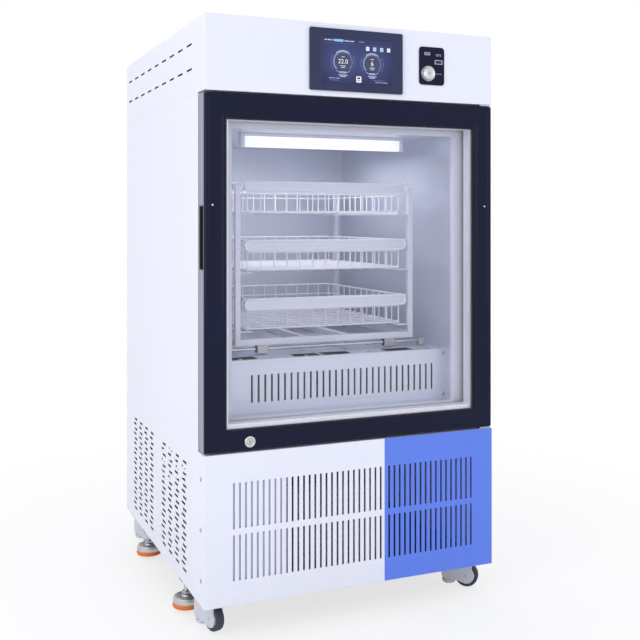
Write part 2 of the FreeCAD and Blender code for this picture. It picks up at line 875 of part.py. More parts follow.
def caster(name, left_right, front_rear, angle):
    """A swivel housing with its king pin and stop pad, and the wheel between its cheeks."""
    x, y = caster_place(left_right, front_rear)
    inside = d.wheel_width + 2 * d.wheel_side_gap
    housing = padded(f"caster_housing_{name}", "XZ_Plane", fork_outline(),
                     inside + 2 * d.fork_wall, centred=True)
    well = padded(f"wheel_well_{name}", "XZ_Plane",
                  rectangle((d.wheel_trail - d.wheel_radius - d.fork_crown_gap,
                             d.wheel_trail + d.wheel_radius + d.fork_crown_gap),
                            (-d.cut_overrun, 2 * d.wheel_radius + d.fork_crown_gap)),
                  inside, centred=True)
    hollow = cut(f"caster_fork_{name}", housing, well)
    pad = rod(f"stop_pad_{name}", d.stop_pad_radius, d.stop_pad_height,
              -d.fork_back + d.stop_pad_radius, 0, d.fork_bottom - d.stop_pad_height,
              facets=d.stop_pad_facets)
    axle = rod(f"axle_{name}", d.axle_radius, inside + d.fork_wall, d.wheel_trail,
               -(inside + d.fork_wall) / 2, d.wheel_radius, "y")
    crown = BOTTOM - d.caster_plate_thickness - d.fork_head_gap
    king_pin = rod(f"king_pin_{name}", d.king_pin_radius, d.caster_plate_thickness, 0, 0, crown)
    whole = joined(f"caster_housing_whole_{name}", [hollow, pad, axle, king_pin])
    put_at(whole, x, y, 0)
    turn(whole, (0, 0, 1), angle)
    keep(whole, f"caster_{name}")

    half = d.wheel_width / 2
    disc = cut(f"wheel_disc_{name}",
               rod(f"wheel_blank_{name}", d.wheel_radius, d.wheel_width, d.wheel_trail, -half,
                   d.wheel_radius, "y", d.wheel_facets),
               bore(f"wheel_bore_{name}", d.axle_radius, d.wheel_width + 2 * d.cut_overrun,
                    d.wheel_trail, -half - d.cut_overrun, d.wheel_radius, "y"))
    wheel = group(f"wheel_placed_{name}", [disc])
    put_at(wheel, x, y, 0)
    turn(wheel, (0, 0, 1), angle)
    keep(wheel, f"wheel_{name}")


def levelling_feet():
    """Arms under the base, and through each a spindle with a puck and a soft ring at its foot."""
    puck_low = d.foot_bottom + d.foot_ring_height
    puck_high = puck_low + d.foot_puck_height
    arm_low = BOTTOM - d.foot_arm_thickness
    half = d.foot_arm_width / 2
    arms = []
    for name, left_right, front_rear, _ in CASTERS:
        x, y = foot_place(left_right, front_rear)
        inner = x - left_right * d.foot_arm_reach
        outer = x + left_right * half
        across = (outer, inner) if left_right < 0 else (inner, outer)
        blank = box(f"foot_arm_blank_{name}", across, (y - half, y + half), (arm_low, BOTTOM))
        hole = bore(f"foot_arm_bore_{name}", d.spindle_radius,
                    d.foot_arm_thickness + 2 * d.cut_overrun, x, y, arm_low - d.cut_overrun)
        arms.append(cut(f"foot_arm_{name}", blank, hole))

        ring = rod(f"foot_ring_{name}", d.foot_ring_radius, d.foot_ring_height, x, y,
                   d.foot_bottom, facets=d.foot_facets)
        puck = rod(f"foot_puck_{name}", d.foot_puck_radius, d.foot_puck_height, x, y, puck_low,
                   facets=d.foot_facets)
        spindle = rod(f"foot_spindle_{name}", d.spindle_radius, d.spindle_top - puck_high, x, y,
                      puck_high)
        keep(group(f"foot_{name}", [ring, puck, spindle]), f"levelling_foot_{name}")
    keep(group("foot_arms", arms), "foot_arms")


# Door

DOOR_BOTTOM = DOOR_LOW + d.door_gap
DOOR_TOP = DOOR_HIGH - d.door_gap
PROFILE_FRONT = FRONT + d.door_front_thickness
PROFILE_BACK = PROFILE_FRONT + d.profile_depth
WINDOW_SIDE = SIDE - d.frame_side
WINDOW_LOW = DOOR_BOTTOM + d.frame_bottom
WINDOW_HIGH = DOOR_TOP - d.frame_top
HINGE_X = SIDE - d.hinge_from_side
HINGE_Y = FRONT + d.hinge_from_front


def lock_place():
    return -SIDE + d.lock_from_side, BOTTOM + d.lock_height


def grip_up():
    return DOOR_LOW + d.grip_bottom, DOOR_LOW + d.grip_bottom + d.grip_height


def lock_hole(name, start, length, make=bore):
    x, z = lock_place()
    return make(name, d.lock_barrel_radius, length, x, start, z, "y")


def door_front():
    """The glossy front frame round the glass."""
    frame = plate("door_frame_blank", "XZ_Plane",
                  rectangle((-SIDE, SIDE), (DOOR_BOTTOM, DOOR_TOP)), FRONT,
                  d.door_front_thickness)
    pocket(frame, "door_window", "XZ_Plane",
           rectangle((-WINDOW_SIDE, WINDOW_SIDE), (WINDOW_LOW, WINDOW_HIGH)))
    hole = lock_hole("door_frame_bore", FRONT - d.cut_overrun,
                     d.door_front_thickness + 2 * d.cut_overrun, round_hole)
    keep(cut("door_frame", frame, hole), "door_frame")


def door_profile():
    """Four hollow-looking bars behind the front frame, the left one in two lengths round the grip."""
    depth = (PROFILE_FRONT, PROFILE_BACK)
    inner = SIDE - d.profile_width
    low, high = DOOR_BOTTOM + d.profile_width, DOOR_TOP - d.profile_width
    grip = grip_up()
    bottom = cut("profile_bottom",
                 box("profile_bottom_blank", (-SIDE, SIDE), depth, (DOOR_BOTTOM, low)),
                 joined("profile_bottom_bores",
                        [lock_hole("profile_bore", PROFILE_FRONT - d.cut_overrun,
                                   d.profile_depth + 2 * d.cut_overrun),
                         hinge_bore("lower_hinge_bore", DOOR_BOTTOM - d.cut_overrun)]))
    top = cut("profile_top",
              box("profile_top_blank", (-SIDE, SIDE), depth, (high, DOOR_TOP)),
              hinge_bore("upper_hinge_bore", DOOR_TOP - d.hinge_pin_depth))
    bars = [
        bottom,
        top,
        box("profile_right", (inner, SIDE), depth, (low, high)),
        box("profile_left_low", (-SIDE, -inner), depth, (low, grip[0])),
        box("profile_left_high", (-SIDE, -inner), depth, (grip[1], high)),
        box("profile_left_inner", (-SIDE + d.grip_depth, -inner), depth, grip),
    ]
    keep(group("door_profile", bars), "door_profile")


def door_grip():
    """A moulded channel let into the door's left edge, open to the side for the fingers."""
    low, high = grip_up()
    block = box("grip_block", (-SIDE, -SIDE + d.grip_depth), (PROFILE_FRONT, PROFILE_BACK),
                (low, high))
    middle = PROFILE_FRONT + d.profile_depth / 2
    half = d.grip_opening / 2
    hollow = box("grip_hollow",
                 (-SIDE - d.cut_overrun, -SIDE + d.grip_depth - d.grip_wall),
                 (middle - half, middle + half), (low + d.grip_wall, high - d.grip_wall))
    keep(cut("door_grip", block, hollow), "door_grip")


def glazing():
    """Two panes with a spacer between them, held by the door's profile behind the front frame."""
    side = SIDE - d.profile_width
    low, high = DOOR_BOTTOM + d.profile_width, DOOR_TOP - d.profile_width
    front_pane = (PROFILE_FRONT, PROFILE_FRONT + d.pane_thickness)
    rear_pane = (PROFILE_BACK - d.pane_thickness, PROFILE_BACK)
    keep(box("outer_glass", (-side, side), front_pane, (low, high)), "outer_glass")
    keep(box("inner_glass", (-side, side), rear_pane, (low, high)), "inner_glass")
    spacer = plate("glass_spacer", "XZ_Plane", rectangle((-side, side), (low, high)),
                   front_pane[1], rear_pane[0] - front_pane[1])
    inner = side - d.spacer_width
    pocket(spacer, "spacer_opening", "XZ_Plane",
           rectangle((-inner, inner), (low + d.spacer_width, high - d.spacer_width)))
    keep(spacer, "glass_spacer")


def door_gasket():
    """The soft magnetic seal on the back of the door, pressed against the chamber frame."""
    side = SIDE - d.gasket_inset
    low, high = DOOR_BOTTOM + d.gasket_inset, DOOR_TOP - d.gasket_inset
    gasket = plate("door_gasket", "XZ_Plane", rectangle((-side, side), (low, high)),
                   PROFILE_BACK, d.gasket_depth)
    inner = side - d.gasket_width
    pocket(gasket, "gasket_opening", "XZ_Plane",
           rectangle((-inner, inner), (low + d.gasket_width, high - d.gasket_width)))
    keep(gasket, "door_gasket")


def door_lock():
    """A round cam lock: its head on the front frame, its barrel through the door, its cam behind."""
    x, z = lock_place()
    reach = d.door_front_thickness + d.profile_depth + d.cam_gap + d.cam_thickness
    head = rod("lock_head", d.lock_head_radius, d.lock_head_thickness, x,
               FRONT - d.lock_head_thickness, z, "y", d.lock_head_facets)
    barrel = rod("lock_barrel", d.lock_barrel_radius, reach, x, FRONT, z, "y")
    cam_low = PROFILE_BACK + d.cam_gap
    cam = box("lock_cam", (x, x + d.cam_length), (cam_low, cam_low + d.cam_thickness),
              (z - d.cam_width / 2, z + d.cam_width / 2))
    keep(joined("door_lock", [head, barrel, cam]), "door_lock")


def hinge_bore(name, low):
    return bore(name, d.hinge_pin_radius, d.hinge_pin_depth + d.cut_overrun, HINGE_X, HINGE_Y,
                low)


def hinges():
    """A bracket above and below the door, each with the pin that enters the door's profile."""
    across = (SIDE - d.hinge_plate_width, SIDE)
    depth = (HINGE_Y - d.hinge_plate_margin, FACE)
    pieces = []
    for name, low, pin_low in (
        ("lower", DOOR_LOW, DOOR_LOW),
        ("upper", DOOR_HIGH - d.hinge_plate_thickness, DOOR_TOP - d.hinge_pin_depth),
    ):
        leaf = box(f"{name}_hinge_leaf", across, depth, (low, low + d.hinge_plate_thickness))
        length = d.door_gap + d.hinge_pin_depth - d.bore_fit
        start = pin_low if name == "lower" else pin_low + d.bore_fit
        pin = round_rod(f"{name}_hinge_pin", d.hinge_pin_radius, length, HINGE_X, HINGE_Y, start)
        pieces.append(joined(f"{name}_hinge", [leaf, pin]))
    keep(group("door_hinges", pieces), "door_hinges")


# Fittings inside the chamber

DUCT_FRONT = FACE + d.duct_from_face
DUCT_TOP = CHAMBER_FLOOR + d.duct_height
TRAY_FRONT = DUCT_FRONT + d.duct_wall


def duct_and_tray():
    """The slotted cover over the cooling unit, and the folded tray on it that carries the shaker."""
    cover = plate("duct_cover", "XZ_Plane",
                  rectangle((-CHAMBER_SIDE, CHAMBER_SIDE), (CHAMBER_FLOOR, DUCT_TOP)),
                  DUCT_FRONT, d.duct_wall)
    start = -CHAMBER_SIDE + d.duct_slot_start
    low = CHAMBER_FLOOR + d.duct_slot_bottom
    slots(cover, "duct_slot", "XZ_Plane", (start, start + d.duct_slot_width),
          (low, low + d.duct_slot_height), d.duct_slot_count, d.duct_slot_pitch, 1,
          d.duct_slot_pitch)
    keep(cover, "duct_cover")

    rear = CHAMBER_BACK - d.base_rear_gap
    fold = [
        (TRAY_FRONT, DUCT_TOP),
        (TRAY_FRONT, DUCT_TOP - d.tray_wall),
        (rear - d.tray_wall, DUCT_TOP - d.tray_wall),
        (rear - d.tray_wall, CHAMBER_FLOOR),
        (rear, CHAMBER_FLOOR),
        (rear, DUCT_TOP),
    ]
    tray = padded("shaker_tray_blank", "YZ_Plane", fold, 2 * CHAMBER_SIDE, centred=True)
    through = 2 * d.cut_overrun
    low = DUCT_TOP - d.cut_overrun
    openings = [round_hole("tray_shaft_hole", d.crank_shaft_radius + d.crank_shaft_fit, through,
                           0, CARRIAGE_Y, low)]
    start = TRAY_FRONT + d.tray_window_margin
    for index, (left, right) in enumerate((
        (d.tray_window_1_left, d.tray_window_1_right),
        (d.tray_window_2_left, d.tray_window_2_right),
        (d.tray_window_3_left, d.tray_window_3_right),
        (d.tray_window_4_left, d.tray_window_4_right),
    )):
        openings.append(box(f"tray_window_{index}", (left, right),
                            (start, start + d.tray_window_depth), (low, low + through)))
    keep(cut("shaker_tray", tray, group("tray_openings", openings)), "shaker_tray")


def interior_lamp():
    """A tube lamp under the ceiling, a little right of the middle."""
    low = FACE + d.lamp_from_face
    half = d.lamp_width / 2
    keep(box("interior_lamp", (d.lamp_offset - half, d.lamp_offset + half),
             (low, low + d.lamp_depth), (CHAMBER_TOP - d.lamp_height, CHAMBER_TOP)),
         "interior_lamp")


def fan(name, radius, x, y, z):
    """A rotor whose axis runs front to back: a hub and pitched blades round it."""
    hub = rod(f"{name}_hub", d.fan_hub_radius, d.fan_hub_depth, 0, 0, 0)
    half_width, half_thickness = d.fan_blade_width / 2, d.fan_blade_thickness / 2
    root = d.fan_hub_radius / 2
    first = padded(f"{name}_blade", "YZ_Plane",
                   rectangle((-half_width, half_width), (-half_thickness, half_thickness)),
                   radius - root)
    turn(first, (1, 0, 0), d.fan_blade_pitch)
    put_at(first, x=root, z=d.fan_hub_depth / 2)
    blades = []
    for index in range(int(d.fan_blade_count.number)):
        blade = group(f"{name}_blade_{index}", [first])
        turn(blade, (0, 0, 1), index * 360 / d.fan_blade_count)
        blades.append(blade)
    rotor = joined(f"{name}_rotor", [hub] + blades)
    rotor.Placement.Rotation = FreeCAD.Rotation(FreeCAD.Vector(1, 0, 0), -90)
    put_at(rotor, x, y, z)
    keep(rotor, name)


EVAPORATOR_FRONT = TRAY_FRONT + d.evaporator_from_duct
CHAMBER_FAN_Z = CHAMBER_FLOOR + d.evaporator_height / 2
CHAMBER_FAN_Y = EVAPORATOR_FRONT - d.fan_motor_depth - d.fan_running_gap - d.fan_hub_depth


def cooling_unit():
    """The evaporator on the chamber floor behind the duct cover, with its fan."""
    half = d.evaporator_width / 2
    keep(box("evaporator", (-half, half),
             (EVAPORATOR_FRONT, CARRIAGE_Y - d.drive_motor_radius - d.evaporator_motor_gap),
             (CHAMBER_FLOOR, CHAMBER_FLOOR + d.evaporator_height)), "evaporator")
    fan("evaporator_fan", d.chamber_fan_radius, 0, CHAMBER_FAN_Y, CHAMBER_FAN_Z)


# Machine section

CONDENSER_FRONT = FRONT + d.condenser_from_front
CONDENSER_BACK = CONDENSER_FRONT + d.condenser_depth
CONDENSER_X = -SIDE + d.condenser_from_side + d.condenser_width / 2
CONDENSER_FAN_Z = BASE_TOP + d.condenser_height / 2
CONDENSER_FAN_Y = CONDENSER_BACK + d.condenser_fan_gap


def machine_section():
    """Condenser behind the front grille, its fan, and the compressor behind them."""
    half = d.condenser_width / 2
    condenser = plate("condenser", "XZ_Plane",
                      rectangle((CONDENSER_X - half, CONDENSER_X + half),
                                (BASE_TOP, BASE_TOP + d.condenser_height)),
                      CONDENSER_FRONT, d.condenser_depth)
    pitch = d.condenser_width / (d.condenser_fins + 1)
    start = CONDENSER_X - half + pitch
    groove = sketch_on(condenser, "fin_groove_outline", "XZ_Plane",
                       rectangle((start - d.condenser_groove / 2, start + d.condenser_groove / 2),
                                 (BASE_TOP + d.condenser_groove,
                                  BASE_TOP + d.condenser_height - d.condenser_groove)))
    groove.AttachmentOffset = FreeCAD.Placement(FreeCAD.Vector(0, 0, 1), FreeCAD.Rotation())
    groove.setExpression("AttachmentOffset.Base.z", d.condenser_depth.formula)
    first = condenser.newObject("PartDesign::Pocket", "fin_groove")
    first.Profile = groove
    bind(first, Length=d.condenser_groove_depth)
    pattern = condenser.newObject("PartDesign::LinearPattern", "fin_groove_pattern")
    pattern.Originals = [first]
    pattern.Direction = (groove, ["H_Axis"])
    pattern.Mode = "Spacing"
    bind(pattern, Occurrences=d.condenser_fins, Offset=pitch)
    condenser.Tip = pattern
    keep(condenser, "condenser")
    fan("condenser_fan", d.condenser_fan_radius, CONDENSER_X, CONDENSER_FAN_Y, CONDENSER_FAN_Z)

    place = (SIDE - d.compressor_from_side, BACK - d.compressor_from_rear)
    can = rod("compressor_can", d.compressor_radius, d.compressor_height, *place, BASE_TOP,
              facets=d.motor_facets)
    lid = rod("compressor_lid", d.compressor_lid_radius, d.compressor_lid_height, *place,
              BASE_TOP + d.compressor_height, facets=d.motor_facets)
    keep(joined("compressor", [can, lid]), "compressor")


def fan_motors():
    """The chamber fan's motor on the evaporator, and the condenser fan's on a post from the base."""
    chamber = round_rod("chamber_fan_motor", d.fan_motor_radius, d.fan_motor_depth, 0,
                        EVAPORATOR_FRONT - d.fan_motor_depth, CHAMBER_FAN_Z, "y")
    start = CONDENSER_FAN_Y + d.fan_hub_depth + d.fan_running_gap
    can = round_rod("condenser_fan_can", d.fan_motor_radius, d.fan_motor_depth, CONDENSER_X,
                    start, CONDENSER_FAN_Z, "y")
    half = d.fan_post_width / 2
    post = box("condenser_fan_post", (CONDENSER_X - half, CONDENSER_X + half),
               (start, start + d.fan_motor_depth), (BASE_TOP, CONDENSER_FAN_Z))
    keep(group("fan_motors", [chamber, joined("condenser_fan_motor", [can, post])]),
         "fan_motors")


# Shaker

CARRIAGE_LOW = DUCT_TOP + d.carriage_lift
CARRIAGE_HIGH = CHAMBER_TOP - d.carriage_top_gap
SHAFT_Z = DUCT_TOP + d.shaft_height
FRONT_SHAFT_Y = CARRIAGE_FRONT + d.tube / 2
REAR_SHAFT_Y = CARRIAGE_BACK - d.tube / 2
YOKE_LOW = CARRIAGE_LOW - d.yoke_thickness


# The baskets share the height between the bottom rail and the top of the cage.
BASKET_COUNT = 3
STACK_LOW = CARRIAGE_LOW + d.bottom_rail + d.basket_floor_gap
STACK_HIGH = CARRIAGE_HIGH + d.top_rail
BASKET_PITCH = (STACK_HIGH - STACK_LOW + d.basket_spacing) / BASKET_COUNT
BASKET_HEIGHT = BASKET_PITCH - d.basket_spacing


def basket_low(level):
    """Height of a basket's floor; level 0 is the lowest."""
    return STACK_LOW + level * BASKET_PITCH


def carriage_frame():
    """A cage of square tube: four posts, a ring of rails below and above, and two cross members."""
    side, front, back = CARRIAGE_SIDE, CARRIAGE_FRONT, CARRIAGE_BACK
    low, high = CARRIAGE_LOW, CARRIAGE_HIGH
    tube = d.tube
    tubes = []
    for side_name, across in (("left", (-side, -side + tube)), ("right", (side - tube, side))):
        for end_name, along in (("front", (front, front + tube)), ("rear", (back - tube, back))):
            tubes.append(box(f"post_{side_name}_{end_name}", across, along, (low, high)))
        between = (front + tube, back - tube)
        tubes.append(box(f"bottom_side_{side_name}", across, between, (low, low + d.bottom_rail)))
        tubes.append(box(f"top_side_{side_name}", across, between, (high - d.top_rail, high)))
    inner = (-side + tube, side - tube)
    for end_name, along in (("front", (front, front + tube)), ("rear", (back - tube, back))):
        tubes.append(box(f"bottom_rail_{end_name}", inner, along, (low, low + d.bottom_rail)))
    tubes.append(box("top_rail_rear", inner, (back - tube, back), (high - d.top_rail, high)))
    half = d.cross_member_gap / 2
    for name, across in (("left", (-half - tube, -half)), ("right", (half, half + tube))):
        tubes.append(box(f"cross_member_{name}", across, (front + tube, back - tube),
                         (low, low + d.bottom_rail)))
    keep(group("carriage_frame", tubes), "carriage_frame")


def basket_runners():
    """Angle ledges on the side posts, one pair under each basket."""
    ledges = []
    for level in range(BASKET_COUNT):
        high = basket_low(level) - d.runner_gap
        outer = CARRIAGE_SIDE - d.tube
        for name, across in (("left", (-outer, -outer + d.runner_width)),
                             ("right", (outer - d.runner_width, outer))):
            ledges.append(box(f"runner_{name}_{level}", across, (CARRIAGE_FRONT, CARRIAGE_BACK),
                              (high - d.runner_thickness, high)))
    keep(group("basket_runners", ledges), "basket_runners")


def guides():
    """Two round shafts with their end supports on the tray, and four bearing blocks under the rails."""
    half = CARRIAGE_SIDE + d.shaft_overhang
    shafts, supports, bearings = [], [], []
    for end_name, y in (("front", FRONT_SHAFT_Y), ("rear", REAR_SHAFT_Y)):
        shafts.append(rod(f"shaft_{end_name}", d.shaft_radius, 2 * half, -half, y,
                          SHAFT_Z, "x"))
        for side_name, sign in (("left", -1), ("right", 1)):
            x = sign * (CARRIAGE_SIDE - d.bearing_inset)
            block = box(f"bearing_block_{side_name}_{end_name}",
                        (x - d.bearing_width / 2, x + d.bearing_width / 2),
                        (y - d.bearing_depth / 2, y + d.bearing_depth / 2),
                        (CARRIAGE_LOW - d.bearing_height, CARRIAGE_LOW))
            hole = bore(f"bearing_bore_{side_name}_{end_name}", d.shaft_radius,
                        d.bearing_width + 2 * d.cut_overrun,
                        x - d.bearing_width / 2 - d.cut_overrun, y, SHAFT_Z, "x")
            bearings.append(cut(f"bearing_{side_name}_{end_name}", block, hole))
            low = (sign - 1) / 2 * d.support_width + sign * half
            supports.append(box(f"support_{side_name}_{end_name}",
                                (low + 0, low + d.support_width),
                                (y - d.support_depth / 2, y + d.support_depth / 2),
                                (DUCT_TOP, DUCT_TOP + d.support_height)))
    keep(group("guide_shafts", shafts), "guide_shafts")
    keep(group("shaft_supports", supports), "shaft_supports")
    keep(group("bearing_blocks", bearings), "bearing_blocks")


def drive():
    """Motor under the tray, its crank above it, and the slotted yoke that the crank pin pushes."""
    throw = d.stroke / 2
    low = DUCT_TOP + d.crank_clearance
    keep(rod("drive_motor", d.drive_motor_radius, d.drive_motor_height, 0, CARRIAGE_Y,
             DUCT_TOP - d.tray_wall - d.drive_motor_height, facets=d.motor_facets),
         "drive_motor")
    end = d.crank_width / 2
    arm = box("crank_arm", (-end, end), (CARRIAGE_Y - end, CARRIAGE_Y + throw + end),
              (low, low + d.crank_thickness))
    shaft_low = DUCT_TOP - d.tray_wall + d.fan_running_gap
    shaft = rod("crank_shaft", d.crank_shaft_radius, low - shaft_low, 0, CARRIAGE_Y, shaft_low)
    pin_low = low + d.crank_thickness
    pin = rod("crank_pin", d.crank_pin_radius, CARRIAGE_LOW - d.pin_end_gap - pin_low, 0,
              CARRIAGE_Y + throw, pin_low)
    keep(joined("crank", [arm, shaft, pin]), "crank")

    half = d.yoke_width / 2
    front = CARRIAGE_Y - d.yoke_back
    yoke = plate("yoke_plate", "XY_Plane",
                 rectangle((-half, half), (front, front + d.yoke_depth)), YOKE_LOW,
                 d.yoke_thickness)
    room = d.crank_pin_radius + d.yoke_play
    pocket(yoke, "yoke_slot", "XY_Plane",
           rectangle((-room, room), (CARRIAGE_Y - room, CARRIAGE_Y + throw + room)))
    keep(yoke, "yoke_plate")


# Wire baskets

BASKET_FRONT = CARRIAGE_FRONT + d.basket_setback
BASKET_BACK = CARRIAGE_BACK - d.basket_rear_gap
BASKET_SIDE = CARRIAGE_SIDE - d.tube - d.basket_side_gap


def net(name, role, across, up, low, columns, rows):
    """A welded panel: a flat blank with one row of openings for each pair of heights in rows."""
    body = plate(name, role, rectangle(across, up), low, d.wire)
    pitch = (across[1] - across[0] - d.wire) / columns
    start = across[0] + d.wire
    for index, row in enumerate(rows):
        slots(body, f"{name}_row_{index}", role, (start, start + pitch - d.wire), row,
              columns, pitch, 1, pitch)
    return body


def basket(name, level):
    """Front, rear, side and floor nets of welded wire, with a folded handle strip across the front."""
    low = basket_low(level)
    high = low + BASKET_HEIGHT
    wire = d.wire
    rim = high - BASKET_HEIGHT * d.handle_height_share
    mid = low + (rim - low) * d.front_mid_share
    front = net(f"{name}_front", "XZ_Plane", (-BASKET_SIDE, BASKET_SIDE), (low, rim),
                BASKET_FRONT, d.front_columns,
                ((low + wire, mid - wire / 2), (mid + wire / 2, rim - wire)))
    rear = net(f"{name}_rear", "XZ_Plane", (-BASKET_SIDE, BASKET_SIDE), (low, high),
               BASKET_BACK - wire, d.side_columns, ((low + wire, high - wire),))
    between = (BASKET_FRONT + wire, BASKET_BACK - wire)
    left = net(f"{name}_left", "YZ_Plane", between, (low, high), -BASKET_SIDE, d.side_columns,
               ((low + wire, high - wire),))
    right = net(f"{name}_right", "YZ_Plane", between, (low, high), BASKET_SIDE - wire,
                d.side_columns, ((low + wire, high - wire),))
    inside = BASKET_SIDE - wire
    floor = net(f"{name}_floor", "XY_Plane", (-inside, inside), between, low, d.floor_columns,
                ((BASKET_FRONT + 2 * wire, BASKET_BACK - 2 * wire),))
    strip_front = BASKET_FRONT - d.handle_projection
    half = BASKET_SIDE + d.handle_overhang
    corner = d.handle_corner
    strip = plate(f"{name}_strip", "XZ_Plane", [
        (-half, high),
        (-half, rim + corner),
        (-half + corner, rim),
        (half - corner, rim),
        (half, rim + corner),
        (half, high),
    ], strip_front, d.handle_wall)
    shelf = box(f"{name}_shelf", (-half + corner, half - corner),
                (strip_front, BASKET_FRONT + wire), (rim, rim + d.handle_wall))
    handle = joined(f"{name}_handle", [strip, shelf])
    keep(group(name, [front, rear, left, right, floor, handle]), name)


# Build

outer_panels()
door_ledges()
mains_inlet()
front_panels()
chamber_walls()
top_cover()
touch_screen()
switch_plate()
base_plate()
caster_plates()
for spec in CASTERS:
    caster(*spec)
levelling_feet()
door_front()
door_profile()
door_grip()
glazing()
door_gasket()
door_lock()
hinges()
duct_and_tray()
interior_lamp()
cooling_unit()
machine_section()
fan_motors()
carriage_frame()
basket_runners()
guides()
drive()
for level, name in enumerate(("basket_lower", "basket_middle", "basket_upper")):
    basket(name, level)

doc.recompute()
for thing in doc.Objects:
    if "Invalid" in thing.State or "Error" in thing.State:
        raise RuntimeError(f"{thing.Label} is in state {thing.State}")
for thing in nodes:
    if thing.Shape.isNull() or not thing.Shape.isValid() or not thing.Shape.Solids:
        raise RuntimeError(f"{thing.Label} has no valid solid")

os.makedirs("parts", exist_ok=True)
for thing in nodes:
    thing.Shape.exportStep(f"parts/{thing.Label}.step")
    bounds = thing.Shape.BoundBox
    print(f"{thing.Label}: {len(thing.Shape.Solids)} solid(s), "
          f"X {bounds.XMin:.1f} to {bounds.XMax:.1f}, Y {bounds.YMin:.1f} to {bounds.YMax:.1f}, "
          f"Z {bounds.ZMin:.1f} to {bounds.ZMax:.1f}")
print(f"{len(nodes)} sub-parts")
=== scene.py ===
"""Looks for a floor-standing platelet agitator, laid out as an add-on."""

import functools
import json
import math

import bmesh
import bpy
from mathutils import Matrix, Vector


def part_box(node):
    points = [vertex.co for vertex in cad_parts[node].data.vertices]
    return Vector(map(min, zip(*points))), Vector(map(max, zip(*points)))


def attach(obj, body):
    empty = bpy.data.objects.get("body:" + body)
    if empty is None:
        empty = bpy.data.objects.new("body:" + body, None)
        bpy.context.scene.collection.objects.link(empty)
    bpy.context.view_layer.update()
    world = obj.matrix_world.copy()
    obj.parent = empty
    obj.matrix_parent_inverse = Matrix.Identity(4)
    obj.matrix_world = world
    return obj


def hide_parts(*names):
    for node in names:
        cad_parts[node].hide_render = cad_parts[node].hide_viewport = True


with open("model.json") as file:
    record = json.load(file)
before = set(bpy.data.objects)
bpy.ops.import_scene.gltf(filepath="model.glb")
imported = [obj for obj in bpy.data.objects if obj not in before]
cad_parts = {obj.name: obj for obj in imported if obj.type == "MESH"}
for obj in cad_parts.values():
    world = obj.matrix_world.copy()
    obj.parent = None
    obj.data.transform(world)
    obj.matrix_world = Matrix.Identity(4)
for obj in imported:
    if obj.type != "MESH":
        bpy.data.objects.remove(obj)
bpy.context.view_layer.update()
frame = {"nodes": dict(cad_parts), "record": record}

bl_info = {
    "name": "Platelet agitator",
    "version": (1, 0, 0),
    "blender": (4, 5, 0),
    "location": "View3D > Sidebar > Agitator",
    "description": "Dresses the cabinet, door, shaking baskets and running gear",
    "category": "Object",
}

MM = 0.001
CORNERS = {"front_left": (-1, -1), "front_right": (1, -1),
           "rear_left": (-1, 1), "rear_right": (1, 1)}
SLOT_OF = {entry["node"]: entry["material_slot"] for entry in frame["record"]["subparts"]}


# Sizes and colours that a user would change

def length(name, description, millimetres):
    return bpy.props.FloatProperty(name=name, description=description,
                                   default=millimetres * MM, unit="LENGTH")


def power(name, description, watts):
    return bpy.props.FloatProperty(name=name, description=description, default=watts,
                                   unit="POWER")


def tint(name, description, *default):
    return bpy.props.FloatVectorProperty(name=name, description=description, subtype="COLOR",
                                         default=default)


class AgitatorSizes(bpy.types.PropertyGroup):
    """Sizes and lights that the frame doesn't fix."""

    sheet_edge: length("Sheet edge", "Radius on the cut edges of sheet steel", 0.4)
    cover_edge: length("Cover edge", "Radius on the folded outer edges of the cabinet", 2.4)
    net_wire: length("Net wire", "Radius of the thin wires of a basket", 1.45)
    rim_wire: length("Rim wire", "Radius of a basket's rim and handle wires", 2.1)
    net_columns: bpy.props.IntProperty(
        name="Net columns", description="Upright wires across a basket's front", default=13)
    net_rows: bpy.props.IntProperty(
        name="Net rows", description="Upright wires along a basket's side", default=13)
    screw_head: length("Screw head", "Radius of the panel screws", 4.2)
    thread_pitch: length("Thread pitch", "Pitch of the levelling spindles", 1.75)
    lamp_strength: bpy.props.FloatProperty(
        name="Lamp strength", description="Brightness of the lens of the chamber lamp",
        default=0.64)
    lamp_power: power("Lamp power", "Light that the chamber lamp gives", 1.2)
    key_power: power("Key light", "Power of the large light at the left", 40.0)
    fill_power: power("Fill light", "Power of the light at the right", 12.0)
    front_power: power("Front light", "Power of the low light before the door", 16.0)


class AgitatorColours(bpy.types.PropertyGroup):
    """Colours of the paints and mouldings."""

    white: tint("White paint", "Powder coat of the cabinet", 0.80, 0.812, 0.905)
    blue: tint("Blue paint", "Powder coat of the right front panel", 0.10, 0.205, 0.79)
    navy: tint("Navy gloss", "Front frame of the door", 0.006, 0.0075, 0.028)
    slate: tint("Slate gloss", "Bezel round the display", 0.034, 0.040, 0.090)
    steel: tint("Steel", "Brushed sheet of the chamber", 0.69, 0.725, 0.82)
    ring: tint("Foot ring", "Soft ring of the levelling feet", 0.80, 0.19, 0.035)
    screen: tint("Screen", "Glow of the display", 0.042, 0.052, 0.145)


def sizes():
    return bpy.context.scene.agitator_sizes


def colours():
    return bpy.context.scene.agitator_colours


# Node trees

def method_pair(operation):
    """The two methods of an operation, with the term first and with it last."""
    return (lambda term, other: term.math(operation, term, other),
            lambda term, other: term.math(operation, other, term))


